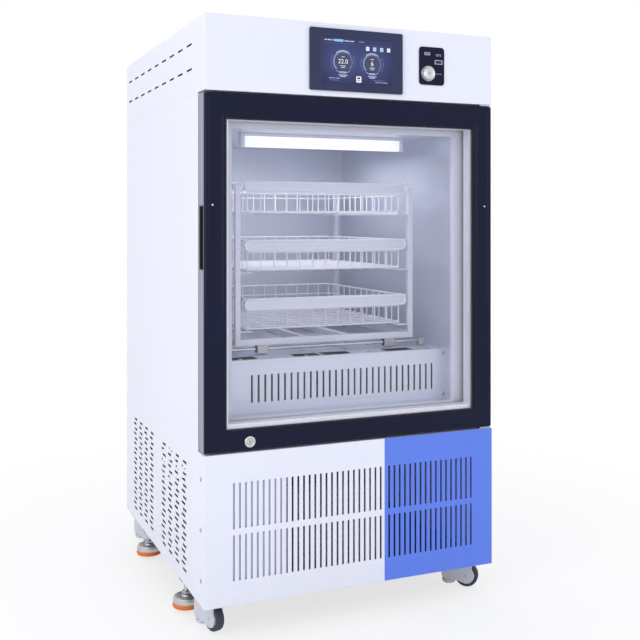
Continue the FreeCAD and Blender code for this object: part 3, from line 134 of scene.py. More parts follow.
class Term:
    """A socket that adds its Math node when it is used in an expression."""

    def __init__(self, tree, socket):
        self.tree, self.socket = tree, socket

    def math(self, operation, *values):
        return self.tree.add("ShaderNodeMath", dict(enumerate(values)),
                             operation=operation)["Value"]

    __add__, __radd__ = method_pair("ADD")
    __sub__, __rsub__ = method_pair("SUBTRACT")
    __mul__, __rmul__ = method_pair("MULTIPLY")
    __truediv__, __rtruediv__ = method_pair("DIVIDE")

    def raised(self, exponent):
        return self.math("POWER", self, exponent)

    def ramped(self, low, high):
        """0 at low and 1 at high, and smooth between them."""
        return self.tree.add(
            "ShaderNodeMapRange", {"Value": self, "From Min": low, "From Max": high},
            interpolation_type="SMOOTHSTEP")["Result"]


class Made:
    """A node whose outputs are read by name or number."""

    def __init__(self, tree, node):
        self.tree, self.node = tree, node

    def __getitem__(self, key):
        return Term(self.tree, self.node.outputs[key])


class Tree:
    """A node tree, all of whose nodes come from add."""

    def __init__(self, nodes):
        self.nodes = nodes

    @classmethod
    def emptied(cls, owner):
        """The bare tree of a new material or world."""
        owner.use_nodes = True
        owner.node_tree.nodes.clear()
        return cls(owner.node_tree)

    def add(self, kind, sockets=None, **settings):
        node = self.nodes.nodes.new(kind)
        for key, value in settings.items():
            setattr(node, key, value)
        for key, value in (sockets or {}).items():
            if isinstance(value, Term):
                self.nodes.links.new(value.socket, node.inputs[key])
            else:
                node.inputs[key].default_value = value
        return Made(self, node)

    def blend(self, factor, first, second):
        """A colour between two others."""
        return self.add("ShaderNodeMix", {0: factor, 6: solid(first), 7: solid(second)},
                        data_type="RGBA")[2]

    def noise(self, place, scale, detail=2.0, distortion=0.0):
        return self.add("ShaderNodeTexNoise", {
            "Vector": place, "Scale": scale, "Detail": detail,
            "Distortion": distortion})["Fac"]

    def mixed(self, kind, factor, first, second):
        """Two shaders mixed, as the surface of a material or world."""
        both = self.add("ShaderNodeMixShader", {0: factor, 1: first, 2: second})
        self.add(f"ShaderNodeOutput{kind}", {"Surface": both["Shader"]})


def solid(colour):
    return colour if isinstance(colour, Term) else (*tuple(colour)[:3], 1.0)


def scaled(colour, share):
    return tuple(c * share for c in tuple(colour)[:3])


class Finish:
    """A material on one Principled shader, whose even values sit on the shader's own sockets."""

    def __init__(self, name, **even):
        self.material = bpy.data.materials.new(name)
        self.tree = Tree.emptied(self.material)
        self.shader = self.tree.add("ShaderNodeBsdfPrincipled", {
            key.replace("_", " ").title().replace("Ior", "IOR"): value
            for key, value in even.items()})
        self.place = self.tree.add("ShaderNodeTexCoord")["Object"]
        self.tree.add("ShaderNodeOutputMaterial", {"Surface": self.shader["BSDF"]})

    def noise(self, scale, detail=2.0, stretch=None, distortion=0.0):
        """Noise with scale cells to the metre, drawn out along an axis by stretch."""
        place = self.place
        if stretch:
            place = self.tree.add("ShaderNodeMapping",
                                  {"Vector": place, "Scale": stretch})["Vector"]
        return self.tree.noise(place, scale, detail, distortion)

    def cells(self, scale):
        return self.tree.add("ShaderNodeTexVoronoi",
                             {"Vector": self.place, "Scale": scale})["Distance"]

    def along(self, axis):
        return self.tree.add("ShaderNodeSeparateXYZ", {0: self.place})[axis]

    def drive(self, socket, value):
        self.tree.nodes.links.new(value.socket, self.shader.node.inputs[socket])

    def surfaced(self, tone, roughness, height, depth, strength):
        """The material with its colour, its roughness and a bump of a depth in millimetres."""
        self.drive("Base Color", tone)
        self.drive("Roughness", roughness)
        self.drive("Normal", self.tree.add("ShaderNodeBump", {
            "Height": height, "Distance": depth * MM, "Strength": strength})["Normal"])
        return self.material


# Finishes

def powder_coat(name, colour):
    """Sprayed paint: fine orange peel, faint clouds, and a little dust near the floor."""
    made = Finish(name, coat_weight=0.12, coat_roughness=0.25, specular_ior_level=0.45)
    peel, smears = made.noise(520.0, 1.5), made.noise(26.0, 3.0)
    dust = (1 - made.along("Z").ramped(0.06, 0.34)) * made.noise(70.0, 4.0)
    tone = made.tree.blend(made.noise(2.6, 3.0), scaled(colour, 0.965), scaled(colour, 1.02))
    return made.surfaced(made.tree.blend(dust * 0.16, tone, scaled(colour, 0.62)),
                         0.34 + smears * 0.10 + peel * 0.04, peel, 0.06, 0.55)


def gloss_moulding(name, colour, roughness):
    """Glossy pane or moulding with a faint wave, dust specks and wiped smears."""
    made = Finish(name, specular_ior_level=0.14)
    wave, smears = made.noise(6.0, 1.0), made.noise(38.0, 4.0, distortion=0.8)
    specks = 1 - made.cells(900.0).ramped(0.0, 0.07)
    base = made.tree.blend(wave, scaled(colour, 0.85), scaled(colour, 1.25))
    return made.surfaced(made.tree.blend(specks * 0.25, base, (0.25, 0.26, 0.30)),
                         roughness + smears * 0.09, wave * 0.9 + smears * 0.1, 0.12, 0.15)


def brushed(name, colour, stretch, roughness, metallic=1.0, lift=1.0):
    """Brushed sheet: short grain along one axis, with rolled clouds under it."""
    colour = scaled(colour, lift)
    made = Finish(name, metallic=metallic, specular_ior_level=0.5)
    clouds = made.noise(7.0, 3.0)
    streaks = made.noise(1.0, 3.0, stretch) * 0.6 + made.noise(0.35, 2.0, stretch) * 0.4
    tone = made.tree.blend(streaks, scaled(colour, 0.80), scaled(colour, 1.16))
    return made.surfaced(made.tree.blend(clouds * 0.35, tone, scaled(colour, 0.82)),
                         roughness + streaks * 0.16 + clouds * 0.06, streaks, 0.035, 0.5)


def plated(name, colour, roughness):
    """Bright plating or polish over drawn steel, with faint draw lines and dull patches."""
    made = Finish(name, metallic=1.0)
    patches, fine = made.noise(60.0, 4.0), made.noise(900.0, 2.0)
    return made.surfaced(made.tree.blend(patches, scaled(colour, 0.88), scaled(colour, 1.06)),
                         roughness + patches.ramped(0.35, 0.8) * 0.16 + fine * 0.04,
                         fine, 0.02, 0.4)


def moulded(name, colour, roughness, grain=700.0, depth=0.05):
    """Grained plastic with a fine spark texture and handling shine."""
    made = Finish(name, specular_ior_level=0.45)
    spark, worn = made.noise(grain, 2.0), made.noise(30.0, 3.0).ramped(0.4, 0.75)
    return made.surfaced(made.tree.blend(spark, scaled(colour, 0.86), scaled(colour, 1.14)),
                         roughness + spark * 0.12 - worn * 0.10, spark, depth, 0.6)


def soft_rubber(name, colour):
    """Rubber with a fine matt skin, scuffs and pale dust in its pores."""
    made = Finish(name, specular_ior_level=0.35)
    pores = made.noise(480.0, 4.0)
    scuffs = made.noise(55.0, 5.0, distortion=1.2).ramped(0.56, 0.78)
    base = made.tree.blend(pores, scaled(colour, 0.82), scaled(colour, 1.18))
    dusty = tuple(c * 0.75 + 0.07 for c in scaled(colour, 1.0))
    return made.surfaced(made.tree.blend(scuffs * 0.35, base, dusty), 0.62 + pores * 0.2,
                         pores, 0.12, 0.5)


def foamed(name, colour):
    """Poured insulation foam with open pores on its cut faces."""
    made = Finish(name, specular_ior_level=0.2)
    pores = made.cells(520.0)
    return made.surfaced(
        made.tree.blend(made.noise(24.0, 3.0), scaled(colour, 0.8), scaled(colour, 1.08)),
        0.8 + pores * 0.15, pores, 0.5, 0.6)


def pane_glass(name):
    """Clear float glass that lets the lamps through and mirrors more at a slant."""
    material = bpy.data.materials.new(name)
    tree = Tree.emptied(material)
    film = tree.noise(tree.add("ShaderNodeTexCoord")["Object"], 5.0, 4.0, 0.6)
    slant = tree.add("ShaderNodeLayerWeight", {"Blend": 0.5})["Facing"]
    mirror = 0.035 + slant.raised(5.0) * 0.965
    clear = tree.add("ShaderNodeBsdfTransparent", {"Color": (0.982, 0.982, 0.992, 1.0)})
    gloss = tree.add("ShaderNodeBsdfAnisotropic",
                     {"Color": (0.95, 0.97, 1.0, 1.0), "Roughness": 0.02})
    tree.mixed("Material", mirror * (0.30 + film * 0.25), clear["BSDF"], gloss["BSDF"])
    return material


def lamp_lens(name):
    """Opal lens, brighter along its middle and dimmer at its ends."""
    low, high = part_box("interior_lamp")
    middle, half = (low.x + high.x) / 2, (high.x - low.x) / 2
    made = Finish(name, base_color=(0.9, 0.92, 0.95, 1.0), roughness=0.35,
                  emission_strength=sizes().lamp_strength)
    off = (made.along("X") - middle).math("ABSOLUTE", made.along("X") - middle) / half
    glow = 1 - off.ramped(0.82, 1.0) * 0.45 - made.noise(30.0) * 0.04
    made.drive("Emission Color", made.tree.blend(glow, (0.50, 0.54, 0.62), (0.96, 0.97, 1.0)))
    made.drive("Roughness", 0.3 + made.noise(300.0) * 0.1)
    return made.material


def screen_glass(name):
    """Display under its cover glass: a dark blue field with soft glows behind the gauges."""
    low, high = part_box("touch_screen")
    width, height = high.x - low.x, high.z - low.z
    made = Finish(name, base_color=(0.006, 0.007, 0.016, 1.0), specular_ior_level=0.12,
                  emission_strength=1.0)
    across = (made.along("X") - low.x) / width
    up = (made.along("Z") - low.z) / height
    glow = 0.35 + up * 0.25
    for x, z, reach, share in ((0.29, 0.47, 0.42, 0.75), (0.715, 0.47, 0.36, 0.65)):
        far = ((across - x).raised(2.0) + ((up - z) * (height / width)).raised(2.0)).raised(0.5)
        glow = glow + (1 - far.ramped(0.04, reach)) * share
    glow = glow + (made.noise(160.0, 2.0) - 0.5) * 0.06
    made.drive("Emission Color", made.tree.blend(
        glow * 0.6, scaled(colours().screen, 0.30), scaled(colours().screen, 1.8)))
    made.drive("Roughness", 0.08 + made.noise(40.0, 3.0) * 0.08)
    return made.material


def glowing(name, colour):
    """Lit marks on the display."""
    made = Finish(name, base_color=(0.02, 0.02, 0.03, 1.0), roughness=0.3, emission_strength=1.0)
    made.drive("Emission Color",
               made.tree.blend(made.noise(2200.0, 1.0), scaled(colour, 0.90), colour))
    return made.material


FINISHES = {
    "white_paint": (powder_coat, "white_powder_coat", "white"),
    "blue_paint": (powder_coat, "blue_powder_coat", "blue"),
    "black_paint": (powder_coat, "black_powder_coat", (0.016, 0.016, 0.018)),
    "motor_paint": (powder_coat, "motor_grey_paint", (0.075, 0.076, 0.084)),
    # Pale lavender grey whose only use is painted light seen through the left grille slots
    "filter_grey": (powder_coat, "filter_lavender_grey", (0.62, 0.63, 0.80)),
    "navy_gloss": (gloss_moulding, "navy_gloss_frame", "navy", 0.05),
    "slate_gloss": (gloss_moulding, "slate_gloss_bezel", "slate", 0.12),
    "wall_steel": (brushed, "steel_brushed_upright", "steel", (900.0, 900.0, 5.0), 0.26, 0.5),
    "sheet_steel": (brushed, "steel_brushed_across", "steel", (5.0, 700.0, 900.0), 0.30, 0.5,
                    1.10),
    "tube_steel": (brushed, "steel_satin_tube", (0.86, 0.87, 0.95), (40.0, 500.0, 500.0),
                   0.32, 0.2),
    "bright_wire": (brushed, "wire_electropolished", (0.97, 0.97, 1.0), (60.0, 60.0, 60.0),
                    0.28, 0.15),
    "satin_aluminium": (brushed, "aluminium_satin", (0.56, 0.56, 0.58), (300.0, 300.0, 30.0),
                        0.40),
    "pale_aluminium": (brushed, "aluminium_pale", (0.82, 0.83, 0.90), (300.0, 300.0, 30.0),
                       0.36, 0.4),
    "fin_aluminium": (brushed, "fin_aluminium", (0.80, 0.81, 0.86), (60.0, 60.0, 20.0),
                      0.42, 0.35),
    "grey_profile": (brushed, "profile_grey_satin", (0.30, 0.30, 0.40), (400.0, 400.0, 12.0),
                     0.34, 0.25),
    "zinc_plate": (plated, "zinc_plate", (0.50, 0.51, 0.55), 0.30),
    "chrome_plate": (plated, "chrome_plate", (0.64, 0.64, 0.67), 0.14),
    "copper_tube": (plated, "copper_tube", (0.70, 0.33, 0.20), 0.25),
    "breaker_plastic": (moulded, "breaker_strip_plastic", (0.84, 0.85, 0.92), 0.30, 380.0,
                        0.03),
    "black_plastic": (moulded, "black_grained_plastic", (0.012, 0.012, 0.016), 0.46),
    "caster_plastic": (moulded, "caster_grey_plastic", (0.60, 0.60, 0.67), 0.36, 420.0, 0.04),
    "port_plastic": (moulded, "port_grey_plastic", (0.34, 0.36, 0.50), 0.5),
    "seal_rubber": (soft_rubber, "seal_rubber", (0.018, 0.018, 0.022)),
    "tread_rubber": (soft_rubber, "tread_rubber", (0.050, 0.054, 0.078)),
    "ring_rubber": (soft_rubber, "orange_ring_rubber", "ring"),
    "insulation_foam": (foamed, "insulation_foam", (0.72, 0.62, 0.36)),
    "pane_glass": (pane_glass, "float_glass"),
    "lamp_lens": (lamp_lens, "opal_lamp_lens"),
    "screen_glass": (screen_glass, "display_glass"),
    "mark_pale": (glowing, "mark_pale", (0.62, 0.68, 0.90)),
    "mark_cyan": (glowing, "mark_cyan", (0.22, 0.58, 0.92)),
    "mark_sky": (glowing, "mark_sky", (0.50, 0.68, 0.92)),
    "mark_white": (glowing, "mark_white", (0.92, 0.94, 1.0)),
    "mark_soft": (glowing, "mark_soft", (0.34, 0.39, 0.60)),
    "mark_dim": (glowing, "mark_dim", (0.12, 0.15, 0.34)),
    "mark_deep": (glowing, "mark_deep", (0.020, 0.026, 0.085)),
}


@functools.cache
def finish(key):
    """The material of a key in the table, with its colour from the panel if it is named."""
    maker, name, *values = FINISHES[key]
    if values and isinstance(values[0], str):
        values[0] = getattr(colours(), values[0])
    return maker(name, *values)


# Shapes

def rounded_rectangle(left, right, low, high, radius, steps=5):
    """Outline of a rectangle with round corners, as (across, up) pairs."""
    radius = max(radius, 0.05 * MM)
    points = []
    for across, up, start in ((right - radius, high - radius, 0),
                              (left + radius, high - radius, 90),
                              (left + radius, low + radius, 180),
                              (right - radius, low + radius, 270)):
        for step in range(steps + 1):
            angle = math.radians(start + 90 * step / steps)
            points.append((across + radius * math.cos(angle), up + radius * math.sin(angle)))
    return points


def eased(points, radius, steps=4, closed=False):
    """The same outline with an arc at each corner."""
    made = []
    count = len(points)
    for index, corner in enumerate(points):
        if not closed and index in (0, count - 1):
            made.append(tuple(corner))
            continue
        corner = Vector(corner)
        before, after = Vector(points[index - 1]), Vector(points[(index + 1) % count])
        cut = min(radius, (before - corner).length * 0.49, (after - corner).length * 0.49)
        start = corner + (before - corner).normalized() * cut
        end = corner + (after - corner).normalized() * cut
        for step in range(steps + 1):
            t = step / steps
            made.append(tuple(start * (1 - t) ** 2 + corner * (2 * t * (1 - t)) + end * t * t))
    return made


def meshed(work, name="shape"):
    mesh = bpy.data.meshes.new(name)
    work.to_mesh(mesh)
    work.free()
    mesh.shade_smooth()
    return mesh


def skinned(loops, closed=False, crease=32.0):
    """A skin through loops of equal length: closed joins the last to the first, and otherwise
    both ends are capped. Edges past the crease angle are sharp."""
    work = bmesh.new()
    rings = [[work.verts.new(point) for point in loop] for loop in loops]
    pairs = list(zip(rings, rings[1:]))
    if closed:
        pairs.append((rings[-1], rings[0]))
    else:
        work.faces.new(rings[0])
        work.faces.new(rings[-1])
    for first, second in pairs:
        for index in range(len(first)):
            after = (index + 1) % len(first)
            work.faces.new((first[index], first[after], second[after], second[index]))
    bmesh.ops.remove_doubles(work, verts=work.verts, dist=0.002 * MM)
    bmesh.ops.recalc_face_normals(work, faces=work.faces)
    mesh = meshed(work)
    mesh.set_sharp_from_angle(angle=math.radians(crease))
    return mesh


def turned(profile, steps=48, ease=0.0, ease_steps=4, closed=False, crease=32.0):
    """A skin turned round Z from (radius, height) pairs in millimetres, with eased corners."""
    profile = [(radius * MM, height * MM) for radius, height in profile]
    if ease:
        profile = eased(profile, ease * MM, ease_steps, closed)
    angles = [math.tau * step / steps for step in range(steps)]
    return skinned([[(radius * math.cos(a), radius * math.sin(a), height) for a in angles]
                    for radius, height in profile], closed, crease)


def grown(rectangle, by):
    left, right, low, high = rectangle
    return left - by, right + by, low - by, high + by


def face_of(node):
    """Left, right, bottom and top of a node, seen from the front."""
    low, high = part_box(node)
    return low.x, high.x, low.z, high.z


def hoop(*groups, steps=5, crease=32.0):
    """A frame in the XZ plane. Each group has a rectangle, a place along Y, and stations of how
    far out they lie, their corner radius and how far behind that place, in millimetres."""
    loops = [[(x, base + depth * MM, z)
              for x, z in rounded_rectangle(*grown(rectangle, out * MM), radius * MM, steps)]
             for rectangle, base, stations in groups for out, radius, depth in stations]
    return evened(skinned(loops, True, crease), crease)


def slab(outline, near, far):
    """An outline in the XZ plane with thickness along Y."""
    return skinned([[(x, depth, z) for x, z in outline] for depth in (near, far)])


def block(low, high, edge=0.5, segments=2):
    """A block whose edges are rounded by some millimetres."""
    work = bmesh.new()
    bmesh.ops.create_cube(work, size=1.0)
    size = Vector(high) - Vector(low)
    for vert in work.verts:
        vert.co = Vector(low) + (vert.co + Vector((0.5, 0.5, 0.5))) * size
    return bevelled(meshed(work), edge * MM, segments)


UP = Matrix.Identity(4)
DOWN = Matrix.Rotation(math.pi, 4, "X")
FORWARD = Matrix.Rotation(math.radians(90), 4, "X")
BACKWARD = Matrix.Rotation(math.radians(-90), 4, "X")
LEFTWARD = Matrix.Rotation(math.radians(-90), 4, "Y")
RIGHTWARD = Matrix.Rotation(math.radians(90), 4, "Y")


def placed(mesh, at, way=UP):
    """The same mesh, turned from Z to a way and moved."""
    mesh.transform(Matrix.Translation(Vector(at)) @ way)
    return mesh


def evaluated(name, data, dress_up=None):
    """The plain mesh of some data, after what dress_up does to the object that holds it."""
    holder = bpy.data.objects.new(name, data)
    bpy.context.scene.collection.objects.link(holder)
    if dress_up:
        dress_up(holder)
    graph = bpy.context.evaluated_depsgraph_get()
    made = bpy.data.meshes.new_from_object(holder.evaluated_get(graph),
                                           preserve_all_data_layers=True, depsgraph=graph)
    bpy.data.objects.remove(holder)
    return made


def shaped(mesh, kind, **settings):
    """A mesh after a modifier."""
    def modify(holder):
        modifier = holder.modifiers.new(kind, kind)
        for key, value in settings.items():
            setattr(modifier, key, value)

    return evaluated("shaping", mesh, modify)


def evened(mesh, crease=32.0):
    """A mesh whose large flat faces stay flat where they meet small ones smoothly."""
    mesh.shade_smooth()
    mesh.set_sharp_from_angle(angle=math.radians(crease))
    return shaped(mesh, "WEIGHTED_NORMAL", keep_sharp=True)


def bevelled(mesh, width, segments=2, angle=32.0, weighted=False):
    return evened(shaped(mesh, "BEVEL", width=width, segments=segments,
                         limit_method="WEIGHT" if weighted else "ANGLE",
                         angle_limit=math.radians(angle)), max(angle, 91 / (segments + 1)))


def without(mesh, tool):
    """A mesh with another one cut out of it."""
    cutter = bpy.data.objects.new("cutter", tool)
    bpy.context.scene.collection.objects.link(cutter)
    made = shaped(mesh, "BOOLEAN", operation="DIFFERENCE", object=cutter, solver="EXACT")
    bpy.data.objects.remove(cutter)
    return evened(made)


def softened(node, width, segments=2, outer=None):
    """A copy of a CAD node with rounded edges. Edges on two sides of its box get outer."""
    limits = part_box(node)
    work = bmesh.new()
    work.from_mesh(frame["nodes"][node].data)
    bmesh.ops.remove_doubles(work, verts=work.verts, dist=0.01 * MM)
    bmesh.ops.split_edges(work, edges=[e for e in work.edges if len(e.link_faces) > 2])
    bmesh.ops.dissolve_limit(work, angle_limit=math.radians(1.0), verts=work.verts,
                             edges=work.edges)
    if outer:
        weights = work.edges.layers.float.new("bevel_weight_edge")
        for edge in work.edges:
            if len(edge.link_faces) == 2 and edge.calc_face_angle(0.0) > math.radians(32):
                on_box = sum(
                    all(abs(vert.co[axis] - limit[axis]) < 0.02 * MM for vert in edge.verts)
                    for axis in range(3) for limit in limits)
                edge[weights] = 1.0 if on_box >= 2 else width / outer
    return bevelled(meshed(work, node), outer or width, segments, weighted=bool(outer))


def gathered(*meshes):
    """One mesh out of several, each with its own materials."""
    work = bmesh.new()
    materials = []
    for mesh in meshes:
        own = list(mesh.materials) or [None]
        for material in own:
            if material not in materials:
                materials.append(material)
        start = len(work.faces)
        work.from_mesh(mesh)
        work.faces.ensure_lookup_table()
        for face in work.faces[start:]:
            face.material_index = materials.index(own[min(face.material_index, len(own) - 1)])
    made = bpy.data.meshes.new("gathered")
    work.to_mesh(made)
    work.free()
    for material in materials:
        made.materials.append(material)
    return made


def coated(mesh, key):
    mesh.materials.clear()
    mesh.materials.append(finish(key))
    return mesh


def show(name, mesh, body, slot, *nodes):
    """Show one or several meshes as a piece that rides on a body and stands for CAD nodes."""
    if isinstance(mesh, list):
        mesh = gathered(*mesh)
    piece = bpy.data.objects.new(name, mesh)
    mesh.name = name
    bpy.context.scene.collection.objects.link(piece)
    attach(piece, body)
    if nodes:
        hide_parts(*nodes)


def dress(node, key, width=None, body="cabinet", segments=2, outer=None):
    """Stand a softened copy in for a CAD node, with its edge widths in millimetres."""
    width = sizes().sheet_edge if width is None else width * MM
    mesh = softened(node, width, segments, outer and outer * MM)
    show(f"{node}_dressed", coated(mesh, key), body, SLOT_OF[node], node)


# Repeats

ROW_INPUTS = (("Count", "NodeSocketInt"), ("Step", "NodeSocketVector"),
              ("Rows", "NodeSocketInt"), ("Row step", "NodeSocketVector"),
              ("Material", "NodeSocketMaterial"))


def new_group(name, inputs):
    """A geometry tree with a Geometry input and output, and the named inputs."""
    group = bpy.data.node_groups.new(name, "GeometryNodeTree")
    for label, kind in (("Geometry", "NodeSocketGeometry"), *inputs):
        group.interface.new_socket(label, in_out="INPUT", socket_type=kind)
    group.interface.new_socket("Geometry", in_out="OUTPUT", socket_type="NodeSocketGeometry")
    return group, Tree(group)


def end_in_rows(tree, given, geometry):
    """Repeat a geometry in rows, then realize it and set its material."""
    for count, step in (("Count", "Step"), ("Rows", "Row step")):
        line = tree.add("GeometryNodeMeshLine", {"Count": given[count], "Offset": given[step]},
                        mode="OFFSET", count_mode="TOTAL")
        geometry = tree.add("GeometryNodeInstanceOnPoints", {"Points": line["Mesh"], "Instance": geometry})["Instances"]
    whole = tree.add("GeometryNodeRealizeInstances", {"Geometry": geometry})
    done = tree.add("GeometryNodeSetMaterial", {"Geometry": whole["Geometry"], "Material": given["Material"]})
    tree.add("NodeGroupOutput", {"Geometry": done["Geometry"]})


@functools.cache
def row_group():
    """Repeats a solid in rows."""
    group, tree = new_group("piece_rows", ROW_INPUTS)
    given = tree.add("NodeGroupInput")
    end_in_rows(tree, given, given["Geometry"])
    return group


@functools.cache
def wire_group():
    """Bends a path of edges, sweeps a round wire along it and repeats it in rows."""
    group, tree = new_group("wire_rows", ROW_INPUTS + (
        ("Radius", "NodeSocketFloat"), ("Bend", "NodeSocketFloat"), ("Facets", "NodeSocketInt")))
    given = tree.add("NodeGroupInput")
    path = tree.add("GeometryNodeMeshToCurve", {"Mesh": given["Geometry"]})
    bent = tree.add("GeometryNodeFilletCurve", {
        "Curve": path["Curve"], "Count": 4, "Radius": given["Bend"], "Limit Radius": True},
        mode="POLY")
    round_wire = tree.add("GeometryNodeCurvePrimitiveCircle", {
        "Resolution": given["Facets"], "Radius": given["Radius"]}, mode="RADIUS")
    swept = tree.add("GeometryNodeCurveToMesh", {
        "Curve": bent["Curve"], "Profile Curve": round_wire["Curve"], "Fill Caps": True})
    smooth = tree.add("GeometryNodeSetShadeSmooth", {"Geometry": swept["Mesh"]})
    end_in_rows(tree, given, smooth["Geometry"])
    return group


def rows(mesh, key, count=1, step=(0, 0, 0), more=1, more_step=(0, 0, 0), group=None, **own):
    """What a geometry tree makes of a mesh in rows, as a plain mesh."""
    group = group or row_group()
    values = {"material": finish(key), "count": count, "step": Vector(step), "rows": more,
              "row_step": Vector(more_step), **own}

    def modify(holder):
        modifier = holder.modifiers.new("rows", "NODES")
        modifier.node_group = group
        for item in group.interface.items_tree:
            label = item.name.lower().replace(" ", "_")
            if item.in_out == "INPUT" and label in values:
                modifier[item.identifier] = values[label]

    return evaluated("row", mesh, modify)


def wires(path, radius, key, count=1, step=(0, 0, 0), more=1, more_step=(0, 0, 0), bend=5.0,
          facets=8, loop=False):
    """Round wires along a path of corner points, bent by some millimetres, in rows."""
    ends = [(index, index + 1) for index in range(len(path) - 1)]
    if loop:
        ends.append((len(path) - 1, 0))
    mesh = bpy.data.meshes.new("path")
    mesh.from_pydata([tuple(point) for point in path], ends, [])
    return rows(mesh, key, count, step, more, more_step, wire_group(), radius=radius,
                bend=bend * MM, facets=facets)


@functools.cache
def screw_shape():
    """A pan head with a cross recess, standing on the XY plane."""
    metres = sizes().screw_head
    radius = metres / MM
    head = turned([(radius, 0), (radius, radius * 0.22), (radius * 0.62, radius * 0.46),
                   (radius * 0.12, radius * 0.5)], 24, radius * 0.25, 3)
    long, short, deep = metres * 0.58, metres * 0.13, metres * 0.24
    for x, y in ((long, short), (short, long)):
        head = without(head, block((-x, -y, deep), (x, y, metres), 0.01, 1))
    return head


def screws(at, way, count=1, step=(0, 0, 0), more=1, more_step=(0, 0, 0)):
    """Rows of screw heads whose first stands at a place and faces a way."""
    return rows(placed(screw_shape().copy(), at, way), "zinc_plate", count, step, more, more_step)


# Cabinet

def build_sheet_panels():
    cover = sizes().cover_edge / MM
    for side in ("left", "right"):
        dress(f"{side}_side_panel", "white_paint", outer=cover * 0.6)
    dress("rear_panel", "white_paint")
    dress("door_ledges", "white_paint")
    dress("base_plate", "motor_paint")
    dress("foot_arms", "black_paint")
    dress("insulation", "insulation_foam", 1)


def build_front_grilles():
    """The two slotted panels, and a pale plate behind the slots at the left whose colour is painted light, standing in
    for light that falls in through the side louvres.
    """
    cover = sizes().cover_edge / MM
    for paint in ("white", "blue"):
        dress(f"front_grille_{paint}", f"{paint}_paint", outer=cover * 0.7)
    low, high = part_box("front_grille_white")
    sheet, gap, thickness = 2 * MM, 2 * MM, 1 * MM
    near = low.y + sheet + gap
    # A pale sheet behind the left slots; its lavender grey is painted light that stands in for light falling in through
    # the side louvres.
    plate = block((low.x + 46 * MM, near, low.z + 26 * MM),
                  (low.x + 164 * MM, near + thickness, high.z - 40 * MM), 0.3)
    show("grille_back_plate", coated(plate, "filter_grey"), "cabinet", "white_paint")


def build_top_cover():
    dress("top_cover", "white_paint", outer=sizes().cover_edge / MM, segments=3)


def build_panel_screws():
    """Screws on the side panels beside the front posts, and round the rear panel."""
    low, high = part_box("left_side_panel")[0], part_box("right_side_panel")[1]
    front_y, first_z, pitch = low.y + 20 * MM, 112 * MM, 94.5 * MM
    show("side_panel_screws", [screws((x, front_y, first_z), way, 3, (0, 0, pitch))
                               for x, way in ((low.x, LEFTWARD), (high.x, RIGHTWARD))],
         "cabinet", "bright_steel")
    low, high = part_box("rear_panel")
    margin = 14 * MM
    width, height = (high.x - margin) * 2, high.z - low.z - 2 * margin
    left, bottom, inner = -width / 2, low.z + margin, height / 6
    show("rear_panel_screws", [
        screws((left, high.y, bottom), BACKWARD, 5, (width / 4, 0, 0), 2, (0, 0, height)),
        screws((left, high.y, bottom + inner), BACKWARD, 5, (0, 0, inner), 2, (width, 0, 0))],
         "cabinet", "bright_steel")


def build_mains_inlet():
    """Socket for a loose lead: a moulded flange with three blades in its recess."""
    dress("mains_inlet", "black_plastic", 0.8)
    low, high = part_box("mains_inlet")
    middle = (low + high) / 2
    blades = []
    for across, up in ((-7, 2), (0, -4), (7, 2)):
        x, z = middle.x + across * MM, middle.z + up * MM
        blades.append(coated(block((x - 1 * MM, high.y - 22 * MM, z - 2 * MM),
                                   (x + 1 * MM, high.y - 7 * MM, z + 2 * MM), 0.4),
                             "zinc_plate"))
    show("mains_inlet_blades", blades, "cabinet", "bright_steel")


# Control section

def flat_mesh(points, faces, key):
    """Faces in an XZ plane that look to the front."""
    mesh = bpy.data.meshes.new("mark")
    mesh.from_pydata(points, [], faces)
    if mesh.polygons[0].normal.y > 0:
        mesh.flip_normals()
    return coated(mesh, key)


def plate_shape(left, right, low, high, radius, depth, key):
    """A flat rectangle with round corners."""
    points = [(x, depth, z) for x, z in rounded_rectangle(left, right, low, high, radius)]
    return flat_mesh(points, [list(range(len(points)))], key)


def bar_shape(x, z, half_x, half_z, radius, depth, key):
    """A flat rectangle round its middle."""
    return plate_shape(x - half_x, x + half_x, z - half_z, z + half_z, radius, depth, key)


def arc_shape(x, z, inner, outer, start, end, depth, key, steps=40):
    """A ring or part of one, as quads."""
    points = []
    for step in range(steps + 1):
        a = math.radians(start + (end - start) * step / steps)
        points += [(x + radius * math.cos(a), depth, z + radius * math.sin(a))
                   for radius in (inner, outer)]
    return flat_mesh(points, [(first, first + 1, first + 3, first + 2)
                              for first in range(0, 2 * steps, 2)], key)


def lettering(words, height, x, z, depth, key):
    """Numbers on the display, centred on a place."""
    curve = bpy.data.curves.new("numbers", "FONT")
    curve.body, curve.size = words, height * 1.38
    curve.align_x, curve.align_y = "CENTER", "CENTER"
    return coated(placed(evaluated("numbers", curve), (x, depth, z), FORWARD), key)


